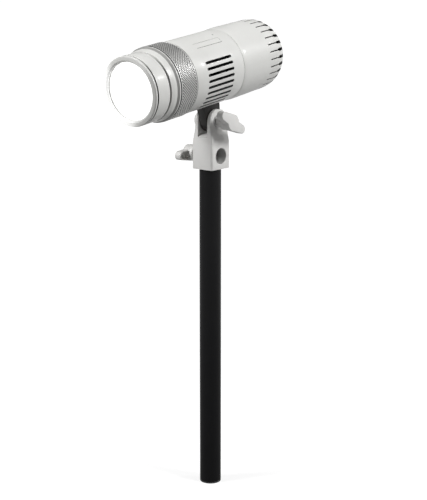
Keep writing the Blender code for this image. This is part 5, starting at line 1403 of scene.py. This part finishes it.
def floor_material():
    """Pale paper that looks white to the camera and keeps the spotlight's shadow."""
    made, tree, spot = started("studio_floor")
    path = tree.nodes.new("ShaderNodeLightPath").outputs
    base = mixed(tree, noise(tree, spot, 3.0), (0.33, 0.33, 0.33, 1), (0.35, 0.35, 0.35, 1))
    away = vector_maths(tree, "LENGTH", spot)
    seen = maths(tree, "MULTIPLY", maths(tree, "MAXIMUM", path["Is Camera Ray"], path["Is Transmission Ray"]),
                 mapped(tree, away, 0.74, 1.0, 0.3, 2.2, smooth=True))
    mirrored = maths(tree, "MULTIPLY", path["Is Glossy Ray"],
                     mapped(tree, away, 0.10, 0.70, 0.4, 1.0, smooth=True))
    return shade(made, Base_Color=base, Roughness=1.0, Specular_IOR_Level=0.0,
                 Emission_Color=(1.0, 1.0, 1.0, 1.0), Emission_Strength=maths(tree, "ADD", seen, mirrored))


def look(made, place, ahead):
    """Puts a lamp or the camera in its place, looking along a direction."""
    made.location = place
    made.rotation_euler = ahead.to_track_quat("-Z", "Y").to_euler()
    bpy.context.scene.collection.objects.link(made)


def add_lamp(name, place, across, strength):
    """A soft round lamp that looks at the lamp head."""
    light = bpy.data.lights.new(name, "AREA")
    light.shape = "DISK"
    light.size = across
    light.energy = strength
    look(bpy.data.objects.new(name, light), place, Vector((0, 0, 0.40)) - Vector(place))


def build_stage():
    """The pale floor, the white room, soft lamps and the camera."""
    floor = loose("studio_floor_fine", lathe([(0, 0.0), (25.0, 0.0), (25.0, -0.01), (0, -0.01)], 96))
    floor.data.materials.append(floor_material())
    white_world()
    stage = bpy.context.scene.spotlight_stage
    add_lamp("top_lamp", (0.15, 0.10, 2.20), 0.60, stage.top_light)
    add_lamp("side_lamp", (1.43, 0.25, 1.46), 0.62, stage.side_light)
    add_lamp("front_lamp", (-0.88, -1.27, 1.32), 0.70, stage.front_light)
    add_lamp("rim_lamp", (0.86, 0.80, 1.03), 0.12, stage.rim_light)
    camera = bpy.data.cameras.new("photo_camera")
    camera.lens = stage.camera_lens
    camera.sensor_width = 36.0
    camera.clip_start = 0.05
    seen = bpy.data.objects.new("photo_camera_fine", camera)
    turn, pitch = stage.camera_turn, stage.camera_pitch
    look(seen, stage.camera_place,
         Vector((-math.sin(turn) * math.cos(pitch), math.cos(turn) * math.cos(pitch), -math.sin(pitch))))
    bpy.context.scene.camera = seen
    bpy.context.scene.view_settings.view_transform = "Standard"


# Operators, panel and registration


def built(builders, *names):
    """Runs a step's builders, and raises an error if one of its pieces is missing."""
    for build in builders:
        build()
    missing = [name for name in names if name + "_fine" not in bpy.data.objects]
    if missing:
        raise RuntimeError("not built: " + ", ".join(missing))
    return {"FINISHED"}


class BuildStep:
    bl_options = {"REGISTER", "UNDO"}


class SPOTLIGHT_OT_pole(BuildStep, Operator):
    """Builds the pole tube, its plug and its stud"""
    bl_idname = "spotlight.build_pole"
    bl_label = "Build Pole"

    def execute(self, context):
        return built([build_pole], "pole_tube", "pole_end_plug", "pole_stud")


class SPOTLIGHT_OT_bracket(BuildStep, Operator):
    """Builds the fork bracket with its bolt, cap and washers"""
    bl_idname = "spotlight.build_bracket"
    bl_label = "Build Bracket"

    def execute(self, context):
        return built([build_bracket, build_pivot], "bracket_block", "pivot_bolt", "bolt_cap",
                     "friction_washer_left", "friction_washer_right", "thrust_washer")


class SPOTLIGHT_OT_knobs(BuildStep, Operator):
    """Builds the tilt knob and the lock knob with their insert, screw and pad"""
    bl_idname = "spotlight.build_knobs"
    bl_label = "Build Knobs"

    def execute(self, context):
        return built([build_knobs], "tilt_knob", "tilt_knob_insert", "lock_knob", "lock_screw",
                     "lock_pad")


class SPOTLIGHT_OT_housing(BuildStep, Operator):
    """Builds the lug and the middle housing with its vents, strip and indicator"""
    bl_idname = "spotlight.build_housing"
    bl_label = "Build Housing"

    def execute(self, context):
        return built([build_lug, build_middle_housing], "mount_lug", "middle_housing",
                     "control_strip", "indicator_light")


class SPOTLIGHT_OT_front(BuildStep, Operator):
    """Builds the front tube, the knurled ring, the collar, the barrel and the lens"""
    bl_idname = "spotlight.build_front"
    bl_label = "Build Front"

    def execute(self, context):
        return built([build_front, build_barrel], "front_tube", "focus_ring", "nose_collar",
                     "lens_barrel", "front_lens")


class SPOTLIGHT_OT_rear(BuildStep, Operator):
    """Builds the slotted rear housing"""
    bl_idname = "spotlight.build_rear"
    bl_label = "Build Rear Housing"

    def execute(self, context):
        return built([build_rear_housing], "rear_housing")


class SPOTLIGHT_OT_controls(BuildStep, Operator):
    """Builds the control plate with its dimmer, switch, inlet and marks"""
    bl_idname = "spotlight.build_controls"
    bl_label = "Build Controls"

    def execute(self, context):
        return built([build_plate, build_dimmer, build_switch, build_inlet], "rear_panel",
                     "panel_screw_left", "panel_screw_right", "dimmer_pot", "dimmer_knob",
                     "switch_frame", "power_rocker", "power_inlet")


class SPOTLIGHT_OT_inside(BuildStep, Operator):
    """Builds what shows through the vents and dresses the inner pieces"""
    bl_idname = "spotlight.build_inside"
    bl_label = "Build Inside"

    def execute(self, context):
        return built([build_inside, dress_carried], "heat_sink", "driver_board")


class SPOTLIGHT_OT_stage(BuildStep, Operator):
    """Builds the floor, the white room, the lamps and the camera"""
    bl_idname = "spotlight.build_stage"
    bl_label = "Build Stage"

    def execute(self, context):
        return built([build_stage], "studio_floor", "photo_camera")


STEPS = (SPOTLIGHT_OT_pole, SPOTLIGHT_OT_bracket, SPOTLIGHT_OT_knobs, SPOTLIGHT_OT_housing,
         SPOTLIGHT_OT_front, SPOTLIGHT_OT_rear, SPOTLIGHT_OT_controls, SPOTLIGHT_OT_inside,
         SPOTLIGHT_OT_stage)
GROUPS = {"spotlight_sizes": SpotlightSizes, "spotlight_colours": SpotlightColours,
          "spotlight_stage": SpotlightStage}


class SPOTLIGHT_PT_sidebar(Panel):
    """The spotlight's sizes, colours and steps"""
    bl_label = "Spotlight"
    bl_idname = "SPOTLIGHT_PT_sidebar"
    bl_space_type = "VIEW_3D"
    bl_region_type = "UI"
    bl_category = "Spotlight"

    def draw(self, context):
        for title, name in zip(("Sizes", "Colours", "Stage"), GROUPS):
            box = self.layout.box()
            box.label(text=title)
            for field in GROUPS[name].__annotations__:
                box.prop(getattr(context.scene, name), field)
        for step in STEPS:
            self.layout.operator(step.bl_idname)


CLASSES = (*GROUPS.values(), *STEPS, SPOTLIGHT_PT_sidebar)


def register():
    for kind in CLASSES:
        bpy.utils.register_class(kind)
    for name, kind in GROUPS.items():
        setattr(bpy.types.Scene, name, PointerProperty(type=kind))


def unregister():
    for name in GROUPS:
        delattr(bpy.types.Scene, name)
    for kind in reversed(CLASSES):
        bpy.utils.unregister_class(kind)


def main():
    register()
    for step in STEPS:
        group, name = step.bl_idname.split(".")
        getattr(getattr(bpy.ops, group), name)()


if __name__ == "__main__":
    main()
